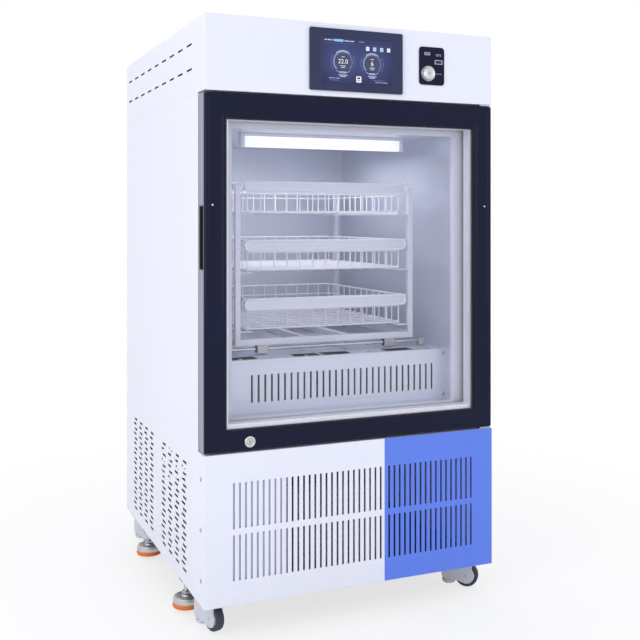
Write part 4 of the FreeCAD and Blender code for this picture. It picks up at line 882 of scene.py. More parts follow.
def build_display():
    """Bezel with a sloped inner edge, the lit screen, and the marks that it shows."""
    low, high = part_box("screen_bezel")
    outer, inner, front = face_of("screen_bezel"), face_of("touch_screen"), low.y
    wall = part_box("top_cover")[0].y
    bezel = hoop((outer, wall, [(0, 3, 0)]),
                 (outer, front, [(0, 3, 1.6), (-0.5, 2.7, 0.5), (-1.6, 2, 0)]),
                 (inner, front, [(3.4, 2.2, 0), (2.9, 1.8, 0.15), (0.25, 0.6, 1.2)]),
                 (inner, high.y, [(0.25, 0.6, 0), (1.6, 1, 0)]),
                 (inner, wall, [(1.6, 1, 0)]), crease=25)
    show("screen_bezel_dressed", coated(bezel, "slate_gloss"), "cabinet", "navy_gloss",
         "screen_bezel")
    dress("touch_screen", "screen_glass", 0.3)

    left, right, bottom, top = inner
    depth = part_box("touch_screen")[0].y - 0.06 * MM
    marks = []

    def at(across, down):
        """A place on the screen from its shares of width and height."""
        return left + across * (right - left), top - down * (top - bottom)

    for across, down, half_x, half_z, radius, key, ahead in (
            (0.235, 0.06, 10, 2.3, 0.8, "mark_cyan", 0),
            (0.5, 0.125, 76, 0.15, 0.15, "mark_dim", 0),
            (0.515, 0.90, 5.6, 6.2, 1.8, "mark_white", 0),
            (0.515, 0.875, 3.2, 1.9, 0.6, "mark_deep", 0.03),
            (0.515, 0.93, 3.2, 0.7, 0.3, "mark_deep", 0.03),
            *((x, 0.20, 3.6, 3.8, 1.0, key, 0) for x, key in (
                (0.64, "mark_white"), (0.74, "mark_sky"), (0.84, "mark_sky"),
                (0.94, "mark_white"))),
            *((x, 0.20, 1.9, 0.5, 0.2, "mark_deep", 0.03) for x in (0.64, 0.74, 0.84, 0.94))):
        marks.append(bar_shape(*at(across, down), half_x * MM, half_z * MM, radius * MM,
                               depth - ahead * MM, key))

    # Plain dashes in place of words, given as lengths
    for across, down, lengths, half, key in (
            (0.04, 0.06, (5, 8, 3), 0.9, "mark_pale"), (0.315, 0.06, (7, 4, 7), 0.9, "mark_pale"),
            (0.52, 0.06, (3, 6), 0.7, "mark_soft"), (0.10, 0.90, (8, 4, 9), 0.8, "mark_soft"),
            (0.12, 0.945, (11, 6), 0.6, "mark_dim"), (0.72, 0.90, (6, 11, 4), 0.6, "mark_dim"),
            (0.75, 0.945, (9, 5, 10), 0.8, "mark_soft")):
        start, z = at(across, down)
        for dash in lengths:
            marks.append(plate_shape(start, start + dash * MM, z - half * MM, z + half * MM,
                                     half * 0.6 * MM, depth, key))
            start += (dash + 1.3) * MM

    for across, down, radius, value, size in ((0.295, 0.53, 23.0 * MM, "22.0", 9.0 * MM),
                                              (0.705, 0.54, 22.0 * MM, "6", 9.5 * MM)):
        x, z = at(across, down)
        for near, far, start, end, ahead, key in (
                (0, 0.70, 0, 360, 0, "mark_deep"), (0.985, 1, 0, 360, 0, "mark_dim"),
                (0.82, 0.90, -45, 225, 0.03, "mark_dim"),
                (0.82, 0.90, 65, 225, 0.05, "mark_soft"),
                (0.93, 0.98, 50, 130, 0.05, "mark_pale"),
                (0.93, 0.98, 230, 310, 0.05, "mark_soft"),
                (1.12, 1.13, 150, 215, 0, "mark_cyan"), (1.12, 1.13, -35, 30, 0, "mark_cyan")):
            marks.append(arc_shape(x, z, radius * near, radius * far, start, end,
                                   depth - ahead * MM, key))
        marks.append(lettering(value, size, x, z + 0.5 * MM, depth - 0.05 * MM, "mark_white"))
        for tick in range(-45, 226, 9):
            marks.append(arc_shape(x, z, radius * 0.73, radius * 0.79, tick - 0.7, tick + 0.7,
                                   depth - 0.03 * MM, "mark_soft", 1))
        for drop, half in ((0.34, 0.26), (0.48, 0.18), (-0.42, 0.16), (0.86, 0.30),
                           (1.12, 0.42), (1.24, 0.26)):
            marks.append(bar_shape(x, z - radius * drop, radius * half, 0.7 * MM, 0.6 * MM,
                                   depth - 0.07 * MM, "mark_pale"))
    show("screen_marks", marks, "cabinet", "screen_glass")


def build_button():
    """The sprung button with its sign, in a raised collar."""
    low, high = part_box("power_button")
    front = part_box("switch_plate")[0].y
    x, z = (low.x + high.x) / 2, (low.z + high.z) / 2
    radius, reach, stand = (high.x - x) / MM, (high.y - low.y) / MM, (front - low.y) / MM
    rim = radius * 0.82
    cap = turned([(radius * 0.96, -reach), (radius * 0.96, -0.4), (radius * 0.88, 0), (rim, 0),
                  (rim - 0.5, -0.7), (rim - 1.1, -0.7), (rim - 1.5, -0.15),
                  (radius * 0.35, -0.75), (radius * 0.02, -0.85)], 64, 0.3, 2)
    show("power_button_cap", [
        coated(placed(cap, (x, low.y, z), FORWARD), "chrome_plate"),
        arc_shape(x, z, 2.9 * MM, 3.5 * MM, -235, 55, low.y + 0.60 * MM, "black_plastic", 28),
        plate_shape(x - 0.3 * MM, x + 0.3 * MM, z + 0.8 * MM, z + 4 * MM, 0.28 * MM,
                    low.y + 0.55 * MM, "black_plastic")],
         "power_button", "bright_steel", "power_button")
    collar = turned([(radius + 0.25, 0), (radius + 0.25, stand * 0.45),
                     (radius + 1.8, stand * 0.45), (radius + 2.6, 0)], 64, 0.4, 3, closed=True)
    show("power_button_collar", coated(placed(collar, (x, front, z), FORWARD), "zinc_plate"),
         "cabinet", "bright_steel")


def build_switch_plate():
    """Glossy plate with the button, printed legends and a service socket in a moulded shell."""
    dress("switch_plate", "navy_gloss", 0.5)
    build_button()
    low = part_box("switch_plate")[0]
    legends = []
    for left, up, wide, tall, key in (
            (12, 60, 13, 6, "port_plastic"), (14, 62, 9, 2, "black_plastic"),
            (38, 62, 4, 1.2, "port_plastic"), (43.5, 62, 7, 1.2, "port_plastic"),
            (38, 59.4, 8, 1.2, "port_plastic"), (47.5, 59.4, 3, 1.2, "port_plastic"),
            (39, 22.5, 6, 1.2, "port_plastic"), (46.5, 22.5, 5, 1.2, "port_plastic")):
        x, z, ahead = low.x + left * MM, low.z + up * MM, 0.06 if key == "black_plastic" else 0.04
        legends.append(plate_shape(x, x + wide * MM, z, z + tall * MM, 0.5 * MM,
                                   low.y - ahead * MM, key))
    show("switch_plate_legends", legends, "cabinet", "grey_port")

    low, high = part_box("service_port")
    outer = face_of("service_port")
    left, right, bottom, top = mouth = grown(outer, -1.8 * MM)
    z, deep = (low.z + high.z) / 2, low.y + 6 * MM
    shell = hoop((outer, high.y, [(0, 1.2, 0)]), (outer, low.y, [(0, 1.2, 0.3), (-0.3, 1, 0)]),
                 (mouth, low.y, [(0, 0.6, 0), (0, 0.6, 5)]), (mouth, high.y, [(0.6, 1, 0)]))
    tongue = block((left + 0.8 * MM, low.y + 1 * MM, z - 0.2 * MM),
                   (right - 0.8 * MM, deep, z + 1.4 * MM), 0.2)
    back = block((left, low.y + 5 * MM, bottom), (right, deep, top), 0.1, 1)
    show("service_port_dressed", [coated(shell, "port_plastic"), coated(tongue, "black_plastic"),
                                  coated(back, "black_plastic")],
         "cabinet", "grey_port", "service_port")


# Door

FIELD = 0.9 * MM
LOCK_RADIUS = 11 * MM


def lock_place():
    """Where the lock's axis meets the front of the door."""
    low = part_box("door_lock")[0]
    return low.x + LOCK_RADIUS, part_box("door_frame")[0].y, low.z + LOCK_RADIUS


def build_door_front():
    """Glossy front frame whose flat field lies between two raised beads, and two pale plugs."""
    low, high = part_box("door_frame")
    front, back, field = low.y, high.y, FIELD / MM
    pane_left, pane_right = face_of("outer_glass")[:2]
    overlap = 2.5 * MM
    window = (pane_left + overlap, pane_right - overlap, 390 * MM, 973 * MM)
    outer = face_of("door_frame")
    ring = hoop(
        (outer, back, [(0, 3, 0)]),
        (outer, front, [(0, 3, 2.4), (-0.35, 2.9, 1.1), (-1.2, 2.6, 0.3), (-2.6, 2, 0),
                        (-7, 1.5, 0), (-8.4, 1.2, 0.35), (-9.2, 1, field)]),
        (window, front, [(9, 3, field), (8.2, 3, 0.35), (7, 3, 0), (3, 3, 0), (1.2, 2.2, 0.4),
                         (0.3, 1.6, 1.6), (0, 1.4, 3)]),
        (window, back, [(0, 1.4, 0)]), steps=6, crease=28)
    bead = hoop((window, back, [(0.1, 1.4, -2.2), (-1.3, 1, -1.9), (-2.2, 0.8, -0.7),
                                (-2.4, 0.8, -0.05), (0.1, 1.4, -0.05)]), crease=40)
    drill = placed(turned([(7.2, -20), (7.2, 20)], 32), lock_place(), FORWARD)
    ring = without(coated(ring, "navy_gloss"), drill)
    show("door_front_frame", [ring], "door", "navy_gloss", "door_frame")
    plug = turned([(1.7, -0.5), (1.7, 0.25), (0.4, 0.4)], 20, 0.3, 3)
    plug_z, edge = 811 * MM, 16 * MM
    plugs = rows(placed(plug, (low.x + edge, front + FIELD, plug_z), FORWARD),
                 "breaker_plastic", 2, (high.x - low.x - 2 * edge, 0, 0))
    show("door_plugs", [plugs], "door", "frame_plastic")
    show("window_bead", coated(bead, "seal_rubber"), "door", "seal_rubber")


def build_door_body():
    """Profile bars, grip, spacer between the panes, and the ribbed gasket."""
    dress("door_profile", "grey_profile", 0.6, "door", outer=1.2)
    dress("door_grip", "black_plastic", 1.0, "door", segments=3)
    low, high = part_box("glass_spacer")
    outer = face_of("glass_spacer")
    inner = grown(outer, -9 * MM)
    spacer = hoop((outer, low.y, [(0, 1, 0)]), (outer, high.y, [(0, 1, 0)]),
                  (inner, high.y, [(0, 1, 0), (0.5, 1, -2)]),
                  (inner, low.y, [(0.5, 1, 2), (0, 1, 0)]))
    show("glass_spacer_dressed", coated(spacer, "pale_aluminium"), "door", "spacer_metal",
         "glass_spacer")

    low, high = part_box("door_gasket")
    wide, deep, ribs, swell = 18, (high.y - low.y) / MM, 3, 1.4
    outward, inward = [], []
    for step in range(ribs * 4 + 1):
        share = step / (ribs * 4)
        rise = swell * (1 + math.cos(share * ribs * math.tau)) / 2
        outward.append((-rise, 3, share * deep))
        inward.append((rise - wide, 2, share * deep))
    gasket = hoop((face_of("door_gasket"), low.y, outward + inward[::-1]), crease=50)
    show("door_gasket_dressed", coated(gasket, "seal_rubber"), "door", "seal_rubber",
         "door_gasket")


def build_door_glass():
    for node in ("outer_glass", "inner_glass"):
        dress(node, "pane_glass", 0.5, "door", segments=1)


def build_door_hardware():
    """Cam lock with its keyway, and the hinges."""
    dress("door_hinges", "zinc_plate", 0.6)
    low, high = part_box("door_lock")
    x, front, z = place = lock_place()
    radius, rise, reach = LOCK_RADIUS / MM, front - low.y, (high.y - front) / MM
    stand = rise / MM
    head = turned([(radius, -FIELD / MM), (radius, stand * 0.35), (radius * 0.90, stand),
                   (radius * 0.62, stand), (radius * 0.58, stand * 0.60),
                   (radius * 0.05, stand * 0.60)], 56, 0.35, 3)
    core = turned([(radius * 0.55, stand * 0.3), (radius * 0.55, stand * 0.80),
                   (radius * 0.44, stand * 0.92), (radius * 0.04, stand * 0.94)], 48, 0.3, 3)

    def keyway(near, far):
        return block((x - 0.9 * MM, near, z - 3.6 * MM), (x + 0.9 * MM, far, z + 3.6 * MM), 0.1, 1)

    core = without(placed(core, place, FORWARD), keyway(low.y - 1 * MM, low.y + rise * 0.6))
    barrel = turned([(6.6, 0), (6.9, 0.3), (6.9, reach - 0.3), (6.6, reach)], 40)
    half = 4.5 * MM
    cam = slab(eased([(x - 4 * MM, z - half), (high.x, z - half), (high.x, z + half),
                      (x - 4 * MM, z + half)], 3 * MM, 4, True), high.y - 2.5 * MM, high.y)
    nut = turned([(7.5, 0), (7.5, 1.2)], 6, crease=20)
    show("door_lock_dressed", [
        coated(placed(head, place, FORWARD), "chrome_plate"), coated(core, "satin_aluminium"),
        coated(keyway(low.y + rise * 0.45, low.y + rise * 0.65), "black_plastic"),
        coated(placed(barrel, place, BACKWARD), "zinc_plate"),
        coated(bevelled(cam, 0.3 * MM), "zinc_plate"),
        coated(placed(nut, (x, high.y - 2.6 * MM, z), FORWARD), "zinc_plate")],
         "lock", "bright_steel", "door_lock")


# Chamber

def build_chamber():
    """Breaker frame, brushed liner, slotted duct cover, tray, and their screws."""
    dress("chamber_frame", "breaker_plastic", 1.2, outer=2.5, segments=3)
    dress("inner_liner", "wall_steel", 0.4)
    dress("duct_cover", "sheet_steel", 0.35)
    dress("shaker_tray", "sheet_steel", 0.4)
    low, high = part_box("duct_cover")
    width, height, inset, margin = high.x - low.x, high.z - low.z, 9 * MM, 40 * MM
    show("duct_screws", [screws((low.x + inset, low.y, low.z + inset), FORWARD, 2,
                                (width - 2 * inset, 0, 0), 2, (0, 0, height - 2 * inset))],
         "cabinet", "bright_steel")
    show("tray_screws", [screws((low.x + margin, low.y + 12 * MM, high.z), UP, 4,
                                ((width - 2 * margin) / 3, 0, 0))],
         "cabinet", "bright_steel")


def build_lamp():
    """Channel under the ceiling with an opal lens and end caps."""
    low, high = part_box("interior_lamp")
    cap, top = 9 * MM, high.z - 7 * MM
    outline = eased([(low.y + 1.5 * MM, top), (low.y + 1.5 * MM, low.z + 4 * MM),
                     (low.y + 6 * MM, low.z + 0.5 * MM), (high.y - 6 * MM, low.z + 0.5 * MM),
                     (high.y - 1.5 * MM, low.z + 4 * MM), (high.y - 1.5 * MM, top)], 5 * MM, 5)
    lens = skinned([[(x, y, z) for y, z in outline] for x in (low.x + cap, high.x - cap)])
    parts = [block((low.x, low.y, top), high, 1.2)]
    parts += [block((x, low.y + 0.6 * MM, low.z), (x + cap, high.y - 0.6 * MM, top), 1.5)
              for x in (low.x, high.x - cap)]
    show("interior_lamp_dressed", [coated(lens, "lamp_lens")]
         + [coated(part, "breaker_plastic") for part in parts],
         "cabinet", "lamp_lens", "interior_lamp")


# Shaker

def build_carriage():
    """Square tubes, runners, bearing blocks with their seals, and the slotted yoke."""
    for node, key, width in (("carriage_frame", "tube_steel", 0.9),
                             ("basket_runners", "tube_steel", 0.6),
                             ("bearing_blocks", "satin_aluminium", 0.8),
                             ("yoke_plate", "zinc_plate", 0.5)):
        dress(node, key, width, "carriage")
    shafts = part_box("guide_shafts")
    low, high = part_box("bearing_blocks")
    radius, wide = 4 * MM, 24 * MM
    seal = turned([(4.2, 0), (4.2, 1.2), (7, 1.2), (7.4, 0)], 32, 0.4, 2, closed=True)
    apart = shafts[1].y - shafts[0].y - 2 * radius
    seals = [rows(placed(seal.copy(), (x, shafts[0].y + radius, shafts[0].z + radius), way),
                  "seal_rubber", 2, (high.x - low.x - wide, 0, 0), 2, (0, apart, 0))
             for way, x in ((LEFTWARD, low.x), (RIGHTWARD, low.x + wide))]
    show("bearing_seals", seals, "carriage", "seal_rubber")


def build_guides():
    """Ground shafts with chamfered ends in clamped supports."""
    low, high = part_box("guide_shafts")
    half = (high.z - low.z) / 2
    radius, reach = half / MM, (high.x - low.x) / MM
    shaft = turned([(radius - 0.6, 0), (radius, 0.6), (radius, reach - 0.6),
                    (radius - 0.6, reach)], 32)
    pair = rows(placed(shaft, (low.x, low.y + half, low.z + half), RIGHTWARD), "chrome_plate",
                2, (0, high.y - low.y - 2 * half, 0))
    show("guide_shafts_dressed", [pair], "cabinet", "bright_steel", "guide_shafts")
    dress("shaft_supports", "satin_aluminium", 0.8)
    low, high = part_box("shaft_supports")
    half = 6 * MM
    show("support_screws", [screws((low.x + half, y, low.z + 5 * MM), way, 2,
                                   (high.x - low.x - 2 * half, 0, 0))
                            for y, way in ((low.y, FORWARD), (high.y, BACKWARD))],
         "cabinet", "bright_steel")


def build_drive():
    """Gear motor with a ribbed can and its crank with a round pin."""
    low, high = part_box("drive_motor")
    middle = (low + high) / 2
    radius, height = (middle.x - low.x) / MM, (high.z - low.z) / MM
    crest, groove = radius * 0.96, radius * 0.90
    profile = [(radius * 0.55, 0), (crest, 1.5)]
    for rib in range(6):
        start = height * (0.12 + rib * 0.07)
        profile += [(crest, start), (groove, start + 0.8), (groove, start + height * 0.035),
                    (crest, start + height * 0.05)]
    profile += [(crest, height * 0.66), (radius, height * 0.68), (radius, height - 1),
                (radius - 1, height)]
    motor = placed(turned(profile, 56, crease=20), (middle.x, middle.y, low.z))
    show("drive_motor_dressed", coated(motor, "motor_paint"), "cabinet", "motor_metal",
         "drive_motor")
    dress("crank", "zinc_plate", 0.6, "crank")


def basket_parts(low, high):
    """The welded wires and the handle strip of one basket."""
    thin, thick = sizes().net_wire, sizes().rim_wire
    across, along = sizes().net_columns, sizes().net_rows
    gap = 10 * MM
    left, right = low.x + gap + thin, high.x - gap - thin
    front, back = low.y + 15 * MM + thin, high.y - thin
    bottom, top, floor = low.z + thin, high.z - thick, low.z + 3 * thin

    def bright(path, radius, *repeats, **bends):
        return wires(path, radius, "bright_wire", *repeats, **bends)

    def loop(height, radius, out):
        path = [(left - out, front - out, height), (right + out, front - out, height),
                (right + out, back + out, height), (left - out, back + out, height)]
        return bright(path, radius, bend=10, facets=10, loop=True)

    parts = [
        bright([(left, front, top), (left, front, bottom), (left, back, bottom),
                (left, back, top)], thin, across, ((right - left) / (across - 1), 0, 0), bend=6),
        bright([(left, front, top), (left, front, floor), (right, front, floor),
                (right, front, top)], thin, along, (0, (back - front) / (along - 1), 0), bend=6),
        loop(top, thick, thin), loop(bottom + (top - bottom) * 0.62, thin, 2 * thin),
        loop(floor, thin * 1.2, 2 * thin),
    ]
    strip_low, face = high.z - 22 * MM, low.y + thick
    ends = (low.x + thick, left - thin), (high.x - thick, right + thin)
    outer_left, outer_right = ends[0][0], ends[1][0]
    parts.append(bright([(outer_left, face, top), (outer_left, face, strip_low),
                         (outer_right, face, strip_low), (outer_right, face, top)],
                        thick, bend=9, facets=12, loop=True))
    flat = rounded_rectangle(outer_left, outer_right, strip_low, top, 8 * MM)
    parts.append(coated(slab(flat, face - 0.5 * MM, face + 0.5 * MM), "sheet_steel"))
    drop = (0, 0, -(top - strip_low) * 0.6)
    parts += [bright([(x, face, top), (x, front - 2 * thin, top), (end, front + 8 * MM, top)],
                     thin * 1.3, 2, drop, bend=4) for x, end in ends]
    return parts


def build_baskets():
    for level in ("lower", "middle", "upper"):
        name = f"basket_{level}"
        show(f"{name}_wires", basket_parts(*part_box(name)), name, "stainless", name)


# Cooling

def fan_blades(radius, hub, depth, count=5, root_pitch=48.0, tip_pitch=24.0, stations=7):
    """Twisted blades round a hub, with the axis along Z and the hub standing on z = 0."""
    parts = []
    for index in range(count):
        loops = []
        for station in range(stations):
            share = station / (stations - 1)
            r = hub * 0.8 + (radius * 0.985 - hub * 0.8) * share
            pitch = math.radians(root_pitch + (tip_pitch - root_pitch) * share)
            chord = min(radius * (0.42 + 0.30 * share), depth * 0.92 / max(math.sin(pitch), 0.1))
            sweep = math.radians(14) * share ** 1.5 + math.tau * index / count
            loop = []
            for side in (1, -1):
                for step in range(7):
                    t = (step / 6 - 0.5) * side
                    camber = (0.25 - t * t) * chord * 0.14
                    swell = side * 0.65 * MM * math.sqrt(max(1 - (2 * t) ** 2, 0.04))
                    u = chord * t * math.cos(pitch) - (camber + swell) * math.sin(pitch)
                    w = chord * t * math.sin(pitch) + (camber + swell) * math.cos(pitch)
                    angle = sweep + u / r
                    loop.append((r * math.cos(angle), r * math.sin(angle), depth / 2 + w))
            loops.append(loop)
        parts.append(skinned(loops, crease=60))
    hub, depth = hub / MM, depth / MM
    parts.append(turned([(hub * 0.55, 0), (hub * 0.95, 0), (hub, 0.8), (hub, depth - 2),
                         (hub * 0.8, depth - 0.4), (hub * 0.1, depth)], 40))
    return parts


def build_fans():
    for name in ("condenser_fan", "evaporator_fan"):
        low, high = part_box(name)
        middle = (low + high) / 2
        parts = [coated(placed(part, (middle.x, high.y, middle.z), FORWARD), "black_plastic")
                 for part in fan_blades((high.x - low.x) / 2, 12 * MM, high.y - low.y)]
        show(f"{name}_rotor", parts, name, "black_plastic", name)
    dress("fan_motors", "motor_paint", 0.5)


def coil_pack(node, tube_key, radius=4 * MM, fin_pitch=4.5 * MM):
    """A finned coil: fins across X, end plates, and tubes that turn back at both ends."""
    low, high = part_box(node)
    plate, inset, margin = 2 * MM, 9 * MM, 2 * MM
    start, end = low.x + inset, high.x - inset
    count = int((end - start) / fin_pitch)
    fin = block((start, low.y + margin, low.z + margin),
                (start + 0.35 * MM, high.y - margin, high.z - margin), 0.02, 1)
    fins = rows(fin, "fin_aluminium", count, ((end - start) / count, 0, 0))
    ends = [coated(block((x, low.y, low.z), (x + plate, high.y, high.z), 0.4), "zinc_plate")
            for x in (start - plate, end)]
    tall, deep = high.z - low.z, high.y - low.y
    levels, layers = max(int(tall / (24 * MM)), 2), 2 if deep < 60 * MM else 4
    step_z, step_y = tall / levels, deep / layers
    left, right, y = low.x + radius, high.x - radius, low.y + step_y / 2
    lower, upper = low.z + step_z * 0.25, low.z + step_z * 0.75
    tube = wires([(left, y, lower), (right, y, lower), (right, y, upper), (left, y, upper)],
                 radius, tube_key, levels, (0, 0, step_z), layers, (0, step_y, 0),
                 bend=step_z * 0.24 / MM, facets=10, loop=True)
    return [fins, tube, *ends]


def build_coils():
    show("evaporator_coil", coil_pack("evaporator", "copper_tube"), "cabinet", "aluminium",
         "evaporator")
    show("condenser_coil", coil_pack("condenser", "black_paint"), "cabinet", "black_metal",
         "condenser")


def build_compressor():
    """Two pressed shells with a weld seam, a terminal cover and a mounting foot."""
    low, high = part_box("compressor")
    middle, tall = (low + high) / 2, high.z - low.z
    radius, height, base = (middle.x - low.x) / MM, tall / MM, (middle.x, middle.y, low.z)
    wall = radius * 0.955
    can = turned([(radius * 0.5, 0), (radius * 0.86, 4), (wall, height * 0.16),
                  (wall, height * 0.56), (radius, height * 0.565), (radius, height * 0.59),
                  (wall, height * 0.60), (radius * 0.95, height * 0.78),
                  (radius * 0.72, height * 0.95), (radius * 0.05, height)], 64, 14, 6)
    foot = turned([(radius * 0.7, 0), (radius * 0.99, 0), (radius * 0.99, 3), (radius * 0.7, 3)],
                  4, closed=True)
    box = block((middle.x - 22 * MM, low.y, low.z + tall * 0.28),
                (middle.x + 22 * MM, low.y + 18 * MM, low.z + tall * 0.52), 3, 3)
    show("compressor_dressed", [
        coated(placed(can, base), "black_paint"), coated(placed(foot, base), "zinc_plate"),
        coated(box, "black_plastic")], "cabinet", "black_metal", "compressor")


# Running gear

WHEEL_RADIUS = 25 * MM
WHEEL_TRAIL = 14 * MM
CASTER_TURN = {"front_left": -73.0, "front_right": -40.0, "rear_left": -73.0,
               "rear_right": 60.0}


def caster_shape():
    """A swivel housing with cheeks, an axle cap each side, a king pin and a stop pad."""
    trail, wheel, inside, wall = WHEEL_TRAIL, WHEEL_RADIUS, 17.6 * MM, 3.5 * MM
    crown, floor, back, cheek = 61.7 * MM, 13 * MM, -38 * MM, 17.2 * MM
    outline = eased([(back, crown), (back, floor + 7 * MM), (back + 7 * MM, floor),
                     (trail - cheek * 1.02, floor)], 4 * MM, 4)
    outline += [(trail + cheek * math.cos(math.radians(a)),
                 wheel + cheek * math.sin(math.radians(a))) for a in range(-100, 41, 10)]
    outline += eased([(trail + cheek * 0.72, crown - 15 * MM),
                      (trail + cheek * 0.55, crown - 3 * MM), (trail + cheek * 0.30, crown)],
                     3 * MM, 4)
    half = inside / 2 + wall
    housing = bevelled(slab(outline, -half, half), 1.6 * MM, 3, 40)
    well, below, above = wheel + 2.5 * MM, -1 * MM, crown - 9 * MM
    well = eased([(trail - well, below), (trail - well, above), (trail + well, above),
                  (trail + well, below)], 6 * MM, 4, True)
    parts = [coated(without(housing, slab(well, -inside / 2, inside / 2)), "caster_plastic")]
    for key, steps, closed, profile in (
            ("caster_plastic", 36, True, [(1.5, 0.9), (4.6, 0.7), (5.6, 0.1), (5.6, -1),
                                          (1.5, -1)]),
            ("motor_paint", 24, False, [(0.2, 0.6), (1.4, 0.6), (1.5, -1)])):
        parts += [coated(placed(turned(profile, steps, closed=closed),
                                (trail, side * (half - 0.6 * MM), wheel), way), key)
                  for side, way in ((-1, FORWARD), (1, BACKWARD))]
    axle = placed(turned([(4.9, 0), (4.9, inside / MM + 1)], 32),
                  (trail, -inside / 2 - 0.5 * MM, wheel), BACKWARD)
    pin = placed(turned([(7.9, 0), (7.9, 2.6), (7.4, 3)], 32), (0, 0, crown))
    pad = placed(turned([(9.5, 0), (12.6, 0.8), (13.9, 3.2), (13.9, 8.2)], 40, 1, 3),
                 (back + 14 * MM, 0, floor - 8 * MM))
    return gathered(*parts, coated(axle, "zinc_plate"), coated(pin, "zinc_plate"),
                    coated(pad, "caster_plastic"))


def wheel_shape():
    """A tyre with a crowned tread on a dished grey centre."""
    radius, half = WHEEL_RADIUS / MM, 8.5
    tread = [(radius * 0.70, -half + 0.6), (radius * 0.90, -half), (radius * 0.985, -half * 0.80),
             (radius, -half * 0.30)]
    centre = [(5.1, -half + 0.3), (8.5, -half + 0.3), (9.2, -half + 2), (radius * 0.64, -half + 2),
              (radius * 0.67, -half + 0.7), (radius * 0.705, -half + 0.7)]
    tread, centre = (side + [(out, -up) for out, up in side[::-1]] for side in (tread, centre))
    tyre = turned(tread, 72, 1.2, 3, closed=True, crease=40)
    disc = turned(centre, 56, closed=True)
    return gathered(*(coated(placed(part, (WHEEL_TRAIL, 0, WHEEL_RADIUS), FORWARD), key)
                      for part, key in ((tyre, "tread_rubber"), (disc, "caster_plastic"))))


def build_casters():
    dress("caster_plates", "zinc_plate", 0.6)
    low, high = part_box("caster_plates")
    half, spread = 31 * MM, 24 * MM
    bolt = turned([(4.6, 0), (4.6, 2.2), (3.8, 2.8)], 6, 0.3, 2, crease=20)
    bolts = []
    for corner, (right, rear) in CORNERS.items():
        x, y = (high.x - half) * right, (high.y - half) * rear
        turn = Matrix.Rotation(math.radians(CASTER_TURN[corner]), 4, "Z")
        show(f"caster_{corner}_housing", placed(caster_shape(), (x, y, 0), turn),
             f"caster_{corner}", "grey_cast", f"caster_{corner}")
        show(f"wheel_{corner}_tyre", placed(wheel_shape(), (x, y, 0), turn),
             f"wheel_{corner}", "wheel_tread", f"wheel_{corner}")
        bolts.append(rows(placed(bolt.copy(), (x - spread, y - spread, low.z), DOWN),
                          "zinc_plate", 2, (2 * spread, 0, 0), 2, (0, 2 * spread, 0)))
    show("caster_bolts", bolts, "cabinet", "bright_steel")


def threaded(radius, low, high, pitch, steps=28):
    """A helical thread round Z, capped at both ends."""
    levels_per_turn = 6
    levels = int((high - low) / pitch * levels_per_turn)
    loops = []
    for level in range(levels + 1):
        height = low + (high - low) * level / levels
        fade = max(min((high - height) / pitch, (height - low) / pitch, 1.0), 0.15)
        loop = []
        for step in range(steps):
            share = step / steps
            depth = abs((height / pitch - share) % 1.0 - 0.5) * 2
            r = radius - 0.55 * pitch * depth * fade
            loop.append((r * math.cos(math.tau * share), r * math.sin(math.tau * share), height))
        loops.append(loop)
    return skinned(loops, crease=180)


def build_feet():
    """Threaded spindle, lock nut, turned metal puck and the soft orange ring under it."""
    for corner in CORNERS:
        node = f"levelling_foot_{corner}"
        low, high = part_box(node)
        middle = (low + high) / 2
        floor, outer, puck = low.z / MM, (middle.x - low.x) / MM, 27.5
        rim, top = floor + 9, floor + 22
        nut = top + 3.2
        parts = [
            coated(turned([(outer - 4, floor), (outer - 1, floor + 0.6), (outer, floor + 3),
                           (outer, rim - 1.5), (outer - 1.5, rim)], 64, 1.2, 4), "ring_rubber"),
            coated(turned([(puck - 0.6, rim), (puck, rim + 0.6), (puck, top - 5),
                           (puck - 1.4, top - 4.2), (puck - 1.4, top - 2), (puck - 3, top - 0.6),
                           (12, top)], 64, 0.5, 2), "satin_aluminium"),
            coated(turned([(11, top), (10, top + 2.2), (6.6, top + 3)], 40, 0.8, 3),
                   "satin_aluminium"),
            coated(threaded(6 * MM, (top + 2) * MM, high.z, sizes().thread_pitch), "zinc_plate"),
            coated(turned([(9, nut), (9.8, nut + 0.7), (9.8, nut + 5.3), (9, nut + 6)], 6, 0.2, 1,
                          crease=20), "zinc_plate"),
        ]
        show(f"{node}_dressed", placed(gathered(*parts), (middle.x, middle.y, 0)), node,
             "foot_grey", node)


# Stage

CAMERA_PLACE = (-0.8076, -2.0515, 0.785)
CAMERA_YAW = 23.09
FOCAL_PIXELS = 962.0
PICTURE_PIXELS = 640.0
CAMERA_SHIFT = -0.158
SENSOR_WIDTH = 36.0
WHITE = (1.0, 1.0, 1.0, 1.0)


def seen_rays(tree):
    """1 for camera, glossy and transmission rays, which see the backdrop as plain white."""
    path = tree.add("ShaderNodeLightPath")
    seen = path["Is Camera Ray"]
    for kind in ("Is Glossy Ray", "Is Transmission Ray"):
        seen = seen.math("MAXIMUM", seen, path[kind])
    return seen


def build_surround():
    """A world that lights softly and is seen as plain white."""
    world = bpy.data.worlds.new("studio")
    bpy.context.scene.world = world
    tree = Tree.emptied(world)
    room, shown = (tree.add("ShaderNodeBackground", {"Color": colour, "Strength": strength})
                   for colour, strength in (((0.93, 0.95, 1.0, 1.0), 0.74), (WHITE, 1.0)))
    tree.mixed("World", seen_rays(tree), room["Background"], shown["Background"])


